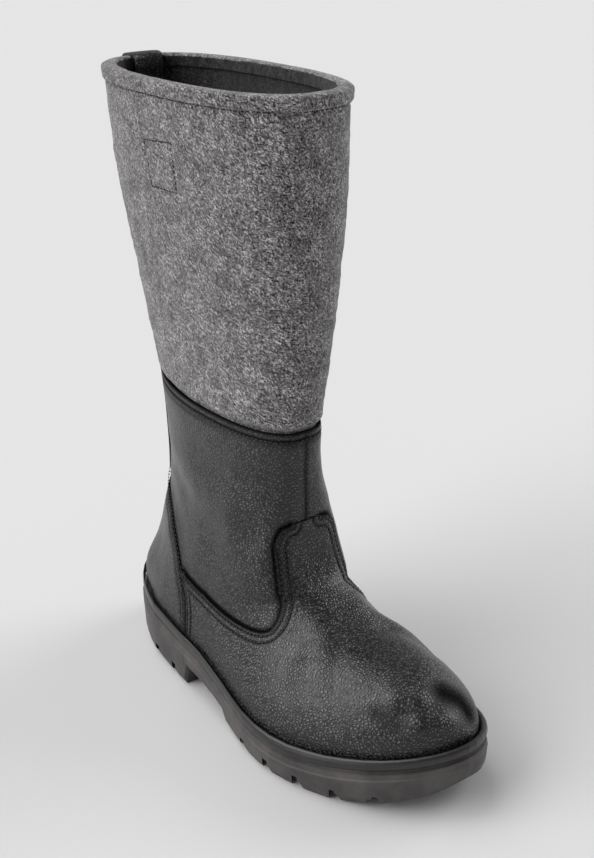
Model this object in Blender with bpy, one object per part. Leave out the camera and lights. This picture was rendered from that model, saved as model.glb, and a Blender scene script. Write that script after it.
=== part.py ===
"""Right-foot winter boot: a felt shaft on a leather foot, with a lugged rubber sole.

The boot stands on its sole. Its toe points to +X, its lateral side to -Y, and +Z is up.
Sizes are in millimetres and become metres where a mesh is made.
"""

import math
from collections import namedtuple

import bmesh
import bpy
import numpy as np
from mathutils import Vector

MM = 0.001

# Driving sizes of the boot
SOLE_LENGTH = 285.0
HEEL_SET = 3.2  # how far the upper stands in from the sole's heel end
TOE_SET = 6.5  # and from its toe end
UPPER_SHARE = 0.895  # the upper's width at the welt, as a share of the sole's
WALL_LEAN = 0.04  # the share of that width lost on the way up the foot's sides
LEATHER = 2.2
OVERLAY = 1.2
FELT = 5.5
GAP = 0.3  # between pieces that are sewn or glued together
SOLE_GAP = 0.6  # between the sole and what stands on it
AROUND = 13  # steps from the back to the front of a section, on each side

# Ends of the sole's outline: the length over which each end is rounded, and its fullness
HEEL_END, HEEL_FULLNESS = 60.0, 2.1
TOE_END, TOE_FULLNESS = 88.0, 1.95

# The sole's plan, and the middle of the leather's ridge above it
Plan = namedtuple("Plan", "x half_width centre ridge")
PLAN = [
    Plan(0.0, 37.0, 0.5, 4.0),
    Plan(30.0, 37.0, -1.0, 3.0),
    Plan(60.0, 38.5, -4.0, 1.0),
    Plan(100.0, 38.5, -7.8, -1.0),
    Plan(140.0, 43.0, -7.5, 1.0),
    Plan(180.0, 51.5, -5.3, 4.5),
    Plan(205.0, 54.0, -1.0, 5.0),
    Plan(230.0, 54.0, 3.2, 5.5),
    Plan(250.0, 53.5, 6.0, 7.0),
    Plan(285.0, 53.5, 9.5, 9.5),
]

# The sole seen from the side: its groove under the welt, and its underside
Side = namedtuple("Side", "x z")
GROOVE = [
    Side(0.0, 35.5),
    Side(10.0, 32.8),
    Side(30.0, 30.2),
    Side(60.0, 29.5),
    Side(87.0, 28.3),
    Side(110.0, 26.3),
    Side(132.0, 23.0),
    Side(155.0, 19.8),
    Side(177.0, 18.2),
    Side(200.0, 17.6),
    Side(223.0, 19.3),
    Side(245.0, 22.8),
    Side(262.0, 27.0),
    Side(273.0, 30.3),
    Side(285.0, 34.4),
]
UNDERSIDE = [
    Side(0.0, 10.0),
    Side(4.0, 6.0),
    Side(12.0, 2.4),
    Side(22.0, 0.6),
    Side(30.0, 0.0),
    Side(94.0, 0.0),
    Side(97.0, 12.0),
    Side(120.0, 10.4),
    Side(142.0, 7.4),
    Side(147.0, 1.6),
    Side(165.0, 0.4),
    Side(180.0, 0.0),
    Side(226.0, 0.0),
    Side(242.0, 1.8),
    Side(256.0, 4.8),
    Side(267.0, 8.6),
    Side(277.0, 13.4),
    Side(285.0, 20.5),
]

# Sections of the boot from the collar to the toe. Each is a line in the side view, from the back or
# the welt to the front or the ridge. back_z is None where the line starts on the welt. crown is
# where the width starts to close towards the front, and fullness says how square that end is.
Section = namedtuple("Section", "name back_x back_z front_x front_z crown fullness")
SECTIONS = [
    Section("collar", -10.0, 360.0, 172.6, 359.6, 0.50, 2.5),
    Section("upper shaft", -7.8, 312.0, 171.6, 311.0, 0.50, 2.5),
    Section("middle shaft", -0.9, 262.0, 167.6, 261.5, 0.50, 2.5),
    Section("lower shaft", 6.4, 215.0, 162.8, 214.5, 0.50, 2.5),
    Section("joint", 12.4, 177.8, 157.8, 177.4, 0.50, 2.6),
    Section("leather shaft", 15.6, 147.0, 156.2, 147.0, 0.50, 2.8),
    Section("ankle", 15.8, 124.0, 156.2, 126.0, 0.52, 3.5),
    Section("throat", 14.4, 103.0, 158.4, 107.0, 0.58, 4.0),
    Section("cup", 11.0, 82.5, 162.2, 94.2, 0.62, 3.8),
    Section("low cup", 7.6, 60.0, 166.4, 87.4, 0.62, 3.5),
    Section("seat", HEEL_SET, 35.8, 171.0, 83.2, 0.58, 3.0),
    Section("heel end", 5.6, None, 174.0, 81.6, 0.56, 2.9),
    Section("heel round", 11.0, None, 177.5, 79.8, 0.53, 2.8),
    Section("heel side", 21.0, None, 182.0, 77.6, 0.50, 2.7),
    Section("heel", 36.0, None, 187.5, 75.2, 0.46, 2.6),
    Section("breast", 55.0, None, 194.5, 72.8, 0.40, 2.4),
    Section("shank", 78.0, None, 203.0, 70.6, 0.36, 2.3),
    Section("arch", 103.0, None, 212.5, 69.2, 0.32, 2.2),
    Section("instep", 130.0, None, 223.0, 68.4, 0.28, 2.2),
    Section("rear ball", 157.0, None, 233.0, 67.6, 0.24, 2.2),
    Section("ball", 184.0, None, 242.5, 66.5, 0.20, 2.25),
    Section("front ball", 208.0, None, 251.0, 64.6, 0.20, 2.3),
    Section("toe root", 229.0, None, 258.6, 61.6, 0.22, 2.3),
    Section("toe box", 246.0, None, 265.0, 57.6, 0.24, 2.3),
    Section("toe front", 259.0, None, 270.2, 52.6, 0.26, 2.3),
    Section("toe wall", 268.5, None, 274.2, 47.0, 0.28, 2.3),
    Section("toe end", 275.0, None, 276.9, 41.4, 0.30, 2.3),
]
COLLAR, JOINT, THROAT, SEAT = 0, 4, 7, 10
TOE = len(SECTIONS)  # the toe's tip follows the last section
SHAFT_ROWS = [0.0, 0.7, 1.4, 2.1, 2.8, 3.5, 4.0]
OVERLAY_TOP = 6.0  # the section that the vamp's and counter's forms start from

# Half-width of the shaft by height, how far its back end takes to reach that width, how square that
# end is, and how far its back and front stand to the medial side of the heel's middle
Shaft = namedtuple("Shaft", "z half_width back_length back_fullness back_centre front_centre")
SHAFT = [
    Shaft(0.0, 35.5, 56.0, 2.0, 4.0, -2.0),
    Shaft(40.0, 35.5, 60.0, 1.95, 4.0, -2.0),
    Shaft(75.0, 35.6, 84.0, 1.65, 4.5, 1.2),
    Shaft(103.0, 33.5, 82.0, 1.52, 5.0, 2.0),
    Shaft(125.0, 31.0, 74.0, 1.55, 5.0, 2.0),
    Shaft(147.0, 28.5, 70.0, 1.65, 5.0, 2.0),
    Shaft(178.0, 27.6, 73.0, 1.8, 5.0, 2.5),
    Shaft(215.0, 31.0, 79.0, 2.0, 5.0, 3.5),
    Shaft(262.0, 35.6, 84.5, 2.2, 5.0, 5.0),
    Shaft(312.0, 39.8, 89.5, 2.4, 5.0, 5.0),
    Shaft(363.0, 42.0, 91.0, 2.5, 5.0, 5.0),
]
FOOT_TOP, SHAFT_FOOT = 34.0, 106.0  # between these heights the plan turns from foot to shaft

# The leather foot's seams in the side view
VAMP_EDGE = [
    (176.0, 124.0),
    (157.4, 123.4),
    (154.2, 117.0),
    (155.0, 108.0),
    (158.4, 95.0),
    (162.6, 84.6),
    (165.8, 77.0),
    (166.4, 71.5),
    (163.4, 66.0),
    (154.5, 62.8),
    (137.0, 61.7),
    (120.0, 62.8),
    (103.0, 65.0),
    (91.7, 67.2),
    (79.4, 69.9),
]
COUNTER_EDGE = [
    (-20.0, 104.6),
    (10.0, 104.0),
    (18.7, 101.0),
    (29.0, 97.6),
    (40.3, 94.7),
    (51.7, 91.0),
    (63.2, 82.9),
    (74.7, 72.8),
    (82.8, 62.0),
    (88.6, 49.0),
    (92.3, 36.0),
    (93.0, 10.0),
]

TUCK_SECTION = 0.4  # how far felt is tucked behind the leather, as a share of the joint's section

BINDING = 1.3  # thickness of the strip folded over the collar
BINDING_DROP = 5.2
BINDING_CREST = 0.6  # how much thicker the fold is over the collar's edge
COLLAR_SECTION = 50.5  # the way along the wall from the collar to the next section
STAY = 1.2  # thickness of the strip up the back
STAY_GAP = 0.45  # between it and the folded strip
STAY_TOP_WIDTH, STAY_JOINT_WIDTH, STAY_FOOT_WIDTH = 27.0, 16.0, 13.0
STAY_INSIDE = 34.0  # how far the strip goes down inside the collar

INSOLE = 3.5
INSOLE_GAP = 2.8  # between its edge and the leather round it

# Tread: places of the grooves that show as notches in the sole's side
HEEL_NOTCHES = [35.0, 55.5, 76.0]
FOREPART_NOTCHES = [168.0, 192.5, 216.5, 239.5, 260.0]
NOTCH_DEPTH, NOTCH_ROOT, NOTCH_MOUTH = 4.2, 3.2, 6.2
CHEVRON_LEAN = 24.0  # how far a groove runs back from the sole's edge to its middle
NOTCH_REACH = 70.0  # from the middle to past the sole's edge
HEEL_BREAST = (94.0, 97.0)  # where the underside steps up behind the waist, and down in front of it
FOREPART_BREAST = (142.0, 147.0)
SOLE_STEPS = 32


def smooth(xs, ys):
    """A cubic through the points that never overshoots them."""
    xs = np.asarray(xs, float)
    ys = np.asarray(ys, float)
    width = np.diff(xs)
    rise = np.diff(ys) / width
    slope = np.zeros_like(ys)
    slope[0], slope[-1] = rise[0], rise[-1]
    for i in range(1, len(xs) - 1):
        if rise[i - 1] * rise[i] > 0:
            before = 2 * width[i] + width[i - 1]
            after = width[i] + 2 * width[i - 1]
            slope[i] = (before + after) / (before / rise[i - 1] + after / rise[i])

    def at(x):
        x = min(max(x, xs[0]), xs[-1])
        i = min(max(int(np.searchsorted(xs, x)) - 1, 0), len(xs) - 2)
        t = (x - xs[i]) / width[i]
        return (
            ys[i] * (1 + 2 * t) * (1 - t) ** 2
            + ys[i + 1] * t * t * (3 - 2 * t)
            + width[i] * t * (1 - t) * (slope[i] * (1 - t) - slope[i + 1] * t)
        )

    return at


def column(rows, name, key="x"):
    return smooth([getattr(r, key) for r in rows], [getattr(r, name) for r in rows])


plan_half_width = column(PLAN, "half_width")
plan_centre = column(PLAN, "centre")
ridge_centre = column(PLAN, "ridge")
groove_z = column(GROOVE, "z")
underside_z = column(UNDERSIDE, "z")
shaft_half_width = column(SHAFT, "half_width", "z")
shaft_back_length = column(SHAFT, "back_length", "z")
shaft_back_fullness = column(SHAFT, "back_fullness", "z")
shaft_back_centre = column(SHAFT, "back_centre", "z")
shaft_front_centre = column(SHAFT, "front_centre", "z")


def feather_z(x):
    """Height at which the upper meets the sole."""
    return groove_z(x) + SOLE_GAP


def rounded(distance, length, fullness):
    """Grows from 0 at an outline's end to 1 where the end's rounding stops."""
    share = min(max(1 - distance / length, 0.0), 1.0)
    return (1 - share**fullness) ** (1 / fullness)


def ease(share):
    share = min(max(share, 0.0), 1.0)
    return share * share * (3 - 2 * share)


def sole_half_width(x):
    heel = rounded(x, HEEL_END, HEEL_FULLNESS)
    toe = rounded(SOLE_LENGTH - x, TOE_END, TOE_FULLNESS)
    return plan_half_width(x) * heel * toe


closed = SECTIONS[: SEAT + 1]
back_x_at = smooth([s.back_z for s in reversed(closed)], [s.back_x for s in reversed(closed)])
TIP_X = SOLE_LENGTH - TOE_SET
rows = list(range(TOE + 1))
section_back_x = smooth(rows, [s.back_x for s in SECTIONS] + [TIP_X])
section_front_x = smooth(rows, [s.front_x for s in SECTIONS] + [TIP_X])
section_front_z = smooth(rows, [s.front_z for s in SECTIONS] + [feather_z(TIP_X)])
section_crown = smooth(rows, [s.crown for s in SECTIONS] + [SECTIONS[-1].crown])
section_fullness = smooth(rows, [s.fullness for s in SECTIONS] + [SECTIONS[-1].fullness])
closed_back_z = smooth(rows[: SEAT + 1], [s.back_z for s in closed])


def section_back_z(row):
    return closed_back_z(row) if row <= SEAT else feather_z(section_back_x(row))


def sole_place(x):
    """The place on the sole's length that a place on the leather's length stands over."""
    return SOLE_LENGTH * (x - HEEL_SET) / (TIP_X - HEEL_SET)


def foot_half_width(x):
    """The leather's half-width over the sole, with its toe end rounded and its heel end still square."""
    toe = rounded(SOLE_LENGTH - sole_place(x), TOE_END, TOE_FULLNESS)
    return UPPER_SHARE * plan_half_width(sole_place(x)) * toe


def along_section(row, turn):
    """Where a step round a section lies on its line, from 0 at the back to 1 at the front."""
    round_ended = (1 - math.cos(math.pi * turn)) / 2
    open_ended = math.sin(math.pi / 2 * turn)
    return round_ended + (open_ended - round_ended) * ease((row - SEAT) / 5)


def surface(row, turn):
    """A point on the leather's outer surface. turn runs 0 to 1 on the lateral side, 1 to 2 on the medial."""
    side = -1 if turn < 1 else 1
    share = along_section(row, turn if turn < 1 else 2 - turn)
    back_x, back_z = section_back_x(row), section_back_z(row)
    x = back_x + share * (section_front_x(row) - back_x)
    z = back_z + share * (section_front_z(row) - back_z)
    foot = foot_half_width(x) * (1 - WALL_LEAN * ease((z - feather_z(x)) / 45))
    lift = ease((z - FOOT_TOP) / (SHAFT_FOOT - FOOT_TOP))
    width = foot + (shaft_half_width(z) - foot) * lift
    from_back = x - back_x_at(z)
    if row < SEAT:
        from_back += back_x_at(back_z) - back_x
    width *= rounded(from_back, shaft_back_length(z), shaft_back_fullness(z))
    crown = section_crown(row)
    width *= rounded(1 - share, 1 - crown, section_fullness(row))
    middle = plan_centre(sole_place(x))
    middle += (ridge_centre(sole_place(x)) - middle) * ease(share)
    front_share = ease(share)
    shaft = shaft_back_centre(z) * (1 - front_share) + shaft_front_centre(z) * front_share
    centre = middle + (shaft - middle) * lift
    return np.array([x, centre + side * width, z])


def outward(row, turn):
    """The outward direction at that point."""
    if row >= TOE:
        return np.array([1.0, 0.0, 0.0])
    step = 0.02
    up = surface(max(row - step, 0), turn) - surface(row + step, turn)
    before, after = turn - step, turn + step
    if row <= SEAT:
        before, after = before % 2, after % 2
    around = surface(row, min(after, 2.0)) - surface(row, max(before, 0.0))
    normal = np.cross(around, up)
    return normal / np.linalg.norm(normal)


def offset_point(row, turn, offset):
    normal = outward(row, turn)
    point = surface(row, turn) + offset * normal
    on_welt = row > SEAT and turn in (0.0, 2.0) or row in (SEAT, TOE) and turn in (0.0, 2.0)
    if on_welt:
        point[2] = feather_z(min(max(point[0], 0.0), SOLE_LENGTH))
    return point


def section_loop(row, offset, steps=AROUND):
    """Points round one section, from the back over the lateral side to the front and round again."""
    turns = [i / steps for i in range(2 * steps + 1)]
    return [offset_point(row, turn, offset) for turn in turns]


def new_object(name, bm, material):
    bmesh.ops.recalc_face_normals(bm, faces=bm.faces)
    mesh = bpy.data.meshes.new(name)
    bm.to_mesh(mesh)
    bm.free()
    mesh.shade_smooth()
    mesh.set_sharp_from_angle(angle=math.radians(40))
    piece = bpy.data.objects.new(name, mesh)
    bpy.context.scene.collection.objects.link(piece)
    if material:
        mesh.materials.append(material)
    return piece


def point(bm, place):
    return bm.verts.new(Vector(place) * MM)


def stitch_rings(bm, rings):
    """Faces between rings that each close on themselves. The last ring joins the first."""
    for ring, following in zip(rings, rings[1:] + rings[:1]):
        count = len(ring)
        for i in range(count):
            j = (i + 1) % count
            bm.faces.new((ring[i], ring[j], following[j], following[i]))


def band(name, profile, material, steps=AROUND):
    """A ring round the shaft. profile lists (row, offset, lift) round the wall's cross-section."""
    bm = bmesh.new()
    rings = []
    for row, offset, lift in profile:
        loop = section_loop(row, offset, steps)[:-1]
        rings.append([point(bm, p + np.array([0, 0, lift])) for p in loop])
    stitch_rings(bm, rings)
    return new_object(name, bm, material)


def skin(bm, loop_rows, offset):
    """One side of the foot's wall, as a list of vertex loops. The last is the toe's tip."""
    loops = []
    for row in loop_rows:
        if row == TOE:
            loops.append([point(bm, offset_point(TOE, 0.0, offset))])
            continue
        places = section_loop(row, offset)
        if row <= SEAT:
            loop = [point(bm, p) for p in places[:-1]]
            loops.append(loop + loop[:1])
        else:
            loops.append([point(bm, p) for p in places])
    for loop, following in zip(loops, loops[1:]):
        for i in range(2 * AROUND):
            if len(following) == 1:
                bm.faces.new((loop[i], loop[i + 1], following[0]))
                continue
            # The same diagonal in every layer keeps the layers apart
            bm.faces.new((loop[i], loop[i + 1], following[i + 1]))
            bm.faces.new((loop[i], following[i + 1], following[i]))
    return loops


def foot_shell(name, loop_rows, outer, inner, material):
    """A wall of the leather foot between two offsets, open at its top and along the sole."""
    bm = bmesh.new()
    outside = skin(bm, loop_rows, outer)
    inside = skin(bm, loop_rows, inner)

    def edge_of(loops):
        lateral = [loop[0] for row, loop in zip(loop_rows, loops) if row >= SEAT]
        medial = [loop[-1] for row, loop in zip(loop_rows, loops) if SEAT < row < TOE]
        return lateral + medial[::-1]

    for out_ring, in_ring in (
        (outside[0][:-1], inside[0][:-1]),
        (edge_of(outside), edge_of(inside)),
    ):
        count = len(out_ring)
        for i in range(count):
            j = (i + 1) % count
            bm.faces.new((out_ring[i], out_ring[j], in_ring[j], in_ring[i]))
    return new_object(name, bm, material)


def side_prism(name, outline, half_depth=90.0):
    """A cutter with the given outline in the side view, hidden from view and render."""
    bm = bmesh.new()
    sides = []
    for y in (-half_depth, half_depth):
        sides.append([point(bm, (x, y, z)) for x, z in outline])
    bm.faces.new(sides[0])
    bm.faces.new(sides[1][::-1])
    count = len(outline)
    for i in range(count):
        j = (i + 1) % count
        bm.faces.new((sides[0][i], sides[0][j], sides[1][j], sides[1][i]))
    cutter = new_object(name, bm, None)
    cutter.hide_render = True
    cutter.display_type = "WIRE"
    return cutter


def cut(piece, cutter, operation):
    modifier = piece.modifiers.new(cutter.name, "BOOLEAN")
    modifier.object = cutter
    modifier.operation = operation
    modifier.solver = "EXACT"


def material(name, colour, roughness, metallic=0.0):
    made = bpy.data.materials.new(name)
    made.use_nodes = True
    shader = made.node_tree.nodes["Principled BSDF"]
    shader.inputs["Base Color"].default_value = (*colour, 1.0)
    shader.inputs["Roughness"].default_value = roughness
    shader.inputs["Metallic"].default_value = metallic
    return made


def sole_stations():
    """Places along the sole, close together at its ends and where its underside steps."""
    even = [SOLE_LENGTH * (1 - math.cos(math.pi * i / SOLE_STEPS)) / 2 for i in range(SOLE_STEPS + 1)]
    steps = [*HEEL_BREAST, *FOREPART_BREAST]
    kept = [x for x in even if min(abs(x - s) for s in steps) > 2.5]
    return sorted(kept + steps)


def outline_point(x, side, inset):
    """A point of the sole's plan, moved in from its edge."""
    centre = plan_centre(x)
    here = np.array([x, centre + side * sole_half_width(x)])
    step = 0.4
    low, high = max(x - step, 0.0), min(x + step, SOLE_LENGTH)
    if low == 0.0:
        normal = np.array([-1.0, 0.0])
    elif high == SOLE_LENGTH:
        normal = np.array([1.0, 0.0])
    else:
        run = high - low
        rise = plan_centre(high) + side * sole_half_width(high)
        rise -= plan_centre(low) + side * sole_half_width(low)
        normal = np.array([-rise, run]) * side / math.hypot(rise, run)
    return here - inset * normal


def ladder_ring(bm, stations, inset, height):
    """A ring round the sole, lateral side first. height gives z from x."""
    ring = []
    for side, places in ((-1, stations), (1, stations[-2:0:-1])):
        for x in places:
            px, py = outline_point(x, side, inset)
            ring.append(point(bm, (px, py, height(px))))
    return ring


def ladder_cap(bm, ring, count):
    """Fills a ring with rungs from its lateral to its medial side."""
    lateral = ring[:count]
    medial = [ring[0]] + ring[count:][::-1] + [ring[count - 1]]
    for i in range(count - 1):
        corners = (lateral[i], lateral[i + 1], medial[i + 1], medial[i])
        bm.faces.new(tuple(dict.fromkeys(corners)))


def ring_wall(bm, ring, following):
    count = len(ring)
    for i in range(count):
        j = (i + 1) % count
        bm.faces.new((ring[i], ring[j], following[j], following[i]))


def make_outsole(rubber):
    stations = sole_stations()
    bm = bmesh.new()
    wall = [
        (2.0, lambda x: groove_z(x)),
        (2.0, lambda x: groove_z(x) - 1.2),
        (0.3, lambda x: groove_z(x) - 2.0),
        (0.1, lambda x: groove_z(x) - 4.6),
        (-0.5, lambda x: groove_z(x) - 5.6),
        (0.3, lambda x: underside_z(x) + 4.0),
        (2.2, lambda x: underside_z(x)),
    ]
    rings = [ladder_ring(bm, stations, inset, height) for inset, height in wall]
    for ring, following in zip(rings, rings[1:]):
        ring_wall(bm, ring, following)
    ladder_cap(bm, rings[0], len(stations))
    ladder_cap(bm, rings[-1], len(stations))
    sole = new_object("outsole", bm, rubber)
    for x in HEEL_NOTCHES + FOREPART_NOTCHES:
        for side in (-1, 1):
            cut(sole, tread_cutter(x, side), "DIFFERENCE")
    return sole


def tread_cutter(x, side):
    """Half of a chevron groove across the underside, wider at its mouth than at its root."""
    bm = bmesh.new()
    floor = underside_z(x)
    ends = []
    outside = CHEVRON_LEAN * (1 - NOTCH_REACH / sole_half_width(x))
    for y, lean in ((-1.5 * side, CHEVRON_LEAN), (NOTCH_REACH * side, outside)):
        middle = x - lean
        ends.append(
            [
                point(bm, (middle - NOTCH_MOUTH / 2, y, floor - 6.0)),
                point(bm, (middle + NOTCH_MOUTH / 2, y, floor - 6.0)),
                point(bm, (middle + NOTCH_MOUTH / 2, y, floor)),
                point(bm, (middle + NOTCH_ROOT / 2, y, floor + NOTCH_DEPTH)),
                point(bm, (middle - NOTCH_ROOT / 2, y, floor + NOTCH_DEPTH)),
                point(bm, (middle - NOTCH_MOUTH / 2, y, floor)),
            ]
        )
    bm.faces.new(ends[0])
    bm.faces.new(ends[1][::-1])
    ring_wall(bm, ends[0], ends[1])
    cutter = new_object(f"notch_{round(x)}_{'lateral' if side < 0 else 'medial'}", bm, None)
    cutter.hide_render = True
    cutter.display_type = "WIRE"
    return cutter


def upper_plan_point(x, side, offset):
    """A point on the upper's edge at the sole, moved out from the leather by offset."""
    half = foot_half_width(x) * rounded(x - HEEL_SET, shaft_back_length(0.0), HEEL_FULLNESS)
    normal = outline_point(sole_place(x), side, 0.0) - outline_point(sole_place(x), side, 1.0)
    return np.array([x, plan_centre(sole_place(x)) + side * half]) + offset * normal


def make_welt(black):
    """A rounded strip between the sole's edge and the leather, proud of the groove below it."""
    stations = sole_stations()
    bead = [
        (0.00, 0.3),
        (0.58, 0.3),
        (0.86, 1.3),
        (1.00, 3.0),
        (0.98, 4.8),
        (0.82, 6.3),
        (0.55, 6.9),
        (0.22, 6.6),
        (0.00, 5.6),
    ]
    clear = OVERLAY + 4 * GAP
    bm = bmesh.new()
    rings = [[] for _ in bead]
    for side, places in ((-1, stations), (1, stations[-2:0:-1])):
        for x in places:
            upper_x = HEEL_SET + x * (TIP_X - HEEL_SET) / SOLE_LENGTH
            inner = upper_plan_point(upper_x, side, clear)
            outer = outline_point(x, side, 0.0)
            for ring, (across, height) in zip(rings, bead):
                plan = inner + across * (outer - inner)
                ring.append(point(bm, (*plan, groove_z(plan[0]) + height)))
    stitch_rings(bm, rings)
    return new_object("welt", bm, black)


def make_insole(felt):
    stations = [x for x in sole_stations() if 1.0 < x < SOLE_LENGTH - 1.0]
    inner = -(LEATHER + INSOLE_GAP)
    bm = bmesh.new()
    rings = []
    for height in (SOLE_GAP, SOLE_GAP + INSOLE):
        ring = []
        for side, places in ((-1, stations), (1, stations[::-1])):
            for x in places:
                upper_x = HEEL_SET + x * (TIP_X - HEEL_SET) / SOLE_LENGTH
                px, py = upper_plan_point(upper_x, side, inner)
                ring.append(point(bm, (px, py, groove_z(px) + height)))
        rings.append(ring)
    ring_wall(bm, rings[0], rings[1])
    count = len(stations)
    for ring in rings:
        lateral, medial = ring[:count], ring[count:][::-1]
        for i in range(count - 1):
            bm.faces.new((lateral[i], lateral[i + 1], medial[i + 1], medial[i]))
    return new_object("insole", bm, felt)


def make_shaft(felt):
    """The felt tube. Below the joint it is skived and tucked behind the leather."""
    tuck_row = JOINT + TUCK_SECTION
    behind = -(LEATHER + GAP)
    profile = [(row, 0.0, 0.0) for row in SHAFT_ROWS]
    profile[-1] = (JOINT, 0.0, GAP)
    profile += [(JOINT, behind, GAP), (tuck_row, behind, 0.0), (tuck_row, behind - 2.1, 0.0)]
    profile += [(row, -FELT, 0.0) for row in reversed(SHAFT_ROWS)]
    return band("shaft", profile, felt)


def make_binding(felt):
    """A strip folded over the collar's edge, standing a little proud inside and out."""
    low = BINDING_DROP / COLLAR_SECTION
    near_out, far_out = GAP, GAP + BINDING
    near_in, far_in = -(FELT + GAP), -(FELT + GAP + BINDING)
    middle = (far_out + far_in) / 2
    top = GAP + BINDING + BINDING_CREST
    profile = [
        (low, near_out, 0.0),
        (low, far_out - 0.3, 0.0),
        (low * 0.8, far_out, 0.0),
        (0.0, far_out, 0.0),
        (0.0, far_out - 0.8, top - 0.8),
        (0.0, middle + 1.6, top),
        (0.0, middle - 1.6, top),
        (0.0, far_in + 0.8, top - 0.8),
        (0.0, far_in, 0.0),
        (low * 0.8, far_in, 0.0),
        (low, far_in + 0.3, 0.0),
        (low, near_in, 0.0),
        (0.0, near_in, GAP),
        (0.0, near_out, GAP),
    ]
    return band("collar_binding", profile, felt)


def make_backstay(leather):
    """The strip over the back seam, from the heel counter up and over the collar."""
    over = GAP + BINDING + STAY_GAP
    inside = -(FELT + GAP + BINDING + STAY_GAP)
    crest = GAP + BINDING + BINDING_CREST + STAY_GAP
    low = BINDING_DROP / COLLAR_SECTION
    path = [(row, GAP, 0.0) for row in (6.9, 6.5, 6.0, 5.5, 5.0, 4.5, *SHAFT_ROWS[:0:-1])]
    path += [(low + 0.1, GAP, 0.0), (low, over, 0.0), (0.0, over, 0.0)]
    path += [(0.0, over - 0.8, crest - 0.8), (0.0, over - 3.0, crest), (0.0, inside + 3.0, crest)]
    path += [(0.0, inside + 0.8, crest - 0.8), (0.0, inside, 0.0), (low, inside, 0.0)]
    path += [(STAY_INSIDE / COLLAR_SECTION, inside + 0.6, 0.0)]
    half_width = smooth(
        [COLLAR, JOINT, THROAT],
        [STAY_TOP_WIDTH / 2, STAY_JOINT_WIDTH / 2, STAY_FOOT_WIDTH / 2],
    )
    bm = bmesh.new()
    layers = []
    for thickness in (0.0, STAY):
        layer = []
        for row, offset, lift in path:
            outer_side = 1 if offset > -FELT / 2 else -1
            if lift == crest:
                raised = offset
            elif lift > 0:
                raised = offset + 0.7 * thickness * outer_side
            else:
                raised = offset + thickness * outer_side
            half = half_width(row)
            facet = offset_point(row, 1 / AROUND, raised) - offset_point(row, 0, raised)
            corner = min(np.linalg.norm(facet), 0.97 * half)
            line = []
            for across in (-half, -corner, 0.0, corner, half):
                place = chord_point(row, across, raised)
                place[2] += lift + (thickness if lift > 0 else 0.0)
                line.append(point(bm, place))
            layer.append(line)
        layers.append(layer)
    under, top = layers
    last = 4
    for k in range(len(path) - 1):
        for i in range(last):
            bm.faces.new((under[k][i], under[k][i + 1], under[k + 1][i + 1], under[k + 1][i]))
            bm.faces.new((top[k][i], top[k][i + 1], top[k + 1][i + 1], top[k + 1][i]))
        for i in (0, last):
            bm.faces.new((under[k][i], under[k + 1][i], top[k + 1][i], top[k][i]))
    for k in (0, len(path) - 1):
        for i in range(last):
            bm.faces.new((under[k][i], under[k][i + 1], top[k][i + 1], top[k][i]))
    return new_object("backstay", bm, leather)


def chord_point(row, across, offset):
    """A point this far round from a section's back, on the straight faces of the ring there."""
    step = 2 if across > 0 else 0
    toward = -1 if across > 0 else 1
    here, left = offset_point(row, step, offset), abs(across)
    for i in range(1, AROUND):
        following = offset_point(row, step + toward * i / AROUND, offset)
        length = float(np.linalg.norm(following - here))
        if left <= length:
            break
        here, left = following, left - length
    return here + (following - here) * left / length


def centre_on_origin(pieces):
    """Moves the boot so that the middle of its box stands over the origin."""
    bpy.context.view_layer.update()
    graph = bpy.context.evaluated_depsgraph_get()
    corners = [Vector(c) for p in pieces for c in p.evaluated_get(graph).bound_box]
    middle = [(min(c[i] for c in corners) + max(c[i] for c in corners)) / 2 for i in (0, 1)]
    shift = Vector((-middle[0], -middle[1], 0.0))
    for thing in bpy.data.objects:
        thing.location += shift


def main():
    for old in list(bpy.data.objects):
        bpy.data.objects.remove(old)
    foot_rows = [JOINT + half / 2 for half in range(12)] + list(range(SEAT, TOE + 1))
    overlay_rows = [row for row in foot_rows if row >= OVERLAY_TOP]
    leather, felt = (0.012, 0.012, 0.012), (0.13, 0.13, 0.13)
    pieces = [
        make_outsole(material("sole rubber", (0.035, 0.032, 0.032), 0.6)),
        make_welt(material("welt rubber", (0.012, 0.012, 0.012), 0.4)),
        make_insole(material("insole felt", (0.03, 0.03, 0.03), 0.95)),
        foot_shell("upper", foot_rows, 0.0, -LEATHER, material("upper leather", leather, 0.45)),
        make_shaft(material("shaft felt", felt, 0.95)),
        make_binding(material("binding felt", felt, 0.95)),
        make_backstay(material("backstay leather", leather, 0.5)),
    ]
    outer = GAP + OVERLAY
    vamp = foot_shell("vamp", overlay_rows, outer, GAP, material("vamp leather", leather, 0.42))
    front = VAMP_EDGE + [(x + GAP, z) for x, z in COUNTER_EDGE if x > 74.0]
    front += [(300.0, 10.0), (300.0, 124.0)]
    cut(vamp, side_prism("vamp_outline", front), "INTERSECT")
    counter = foot_shell("counter", overlay_rows, outer, GAP, material("counter leather", leather, 0.42))
    rear = COUNTER_EDGE + [(-20.0, 10.0)]
    cut(counter, side_prism("counter_outline", rear), "INTERSECT")
    centre_on_origin(pieces + [vamp, counter])


main()
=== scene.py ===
import math

import bpy
import numpy as np
from mathutils import Matrix, Vector, noise


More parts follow.
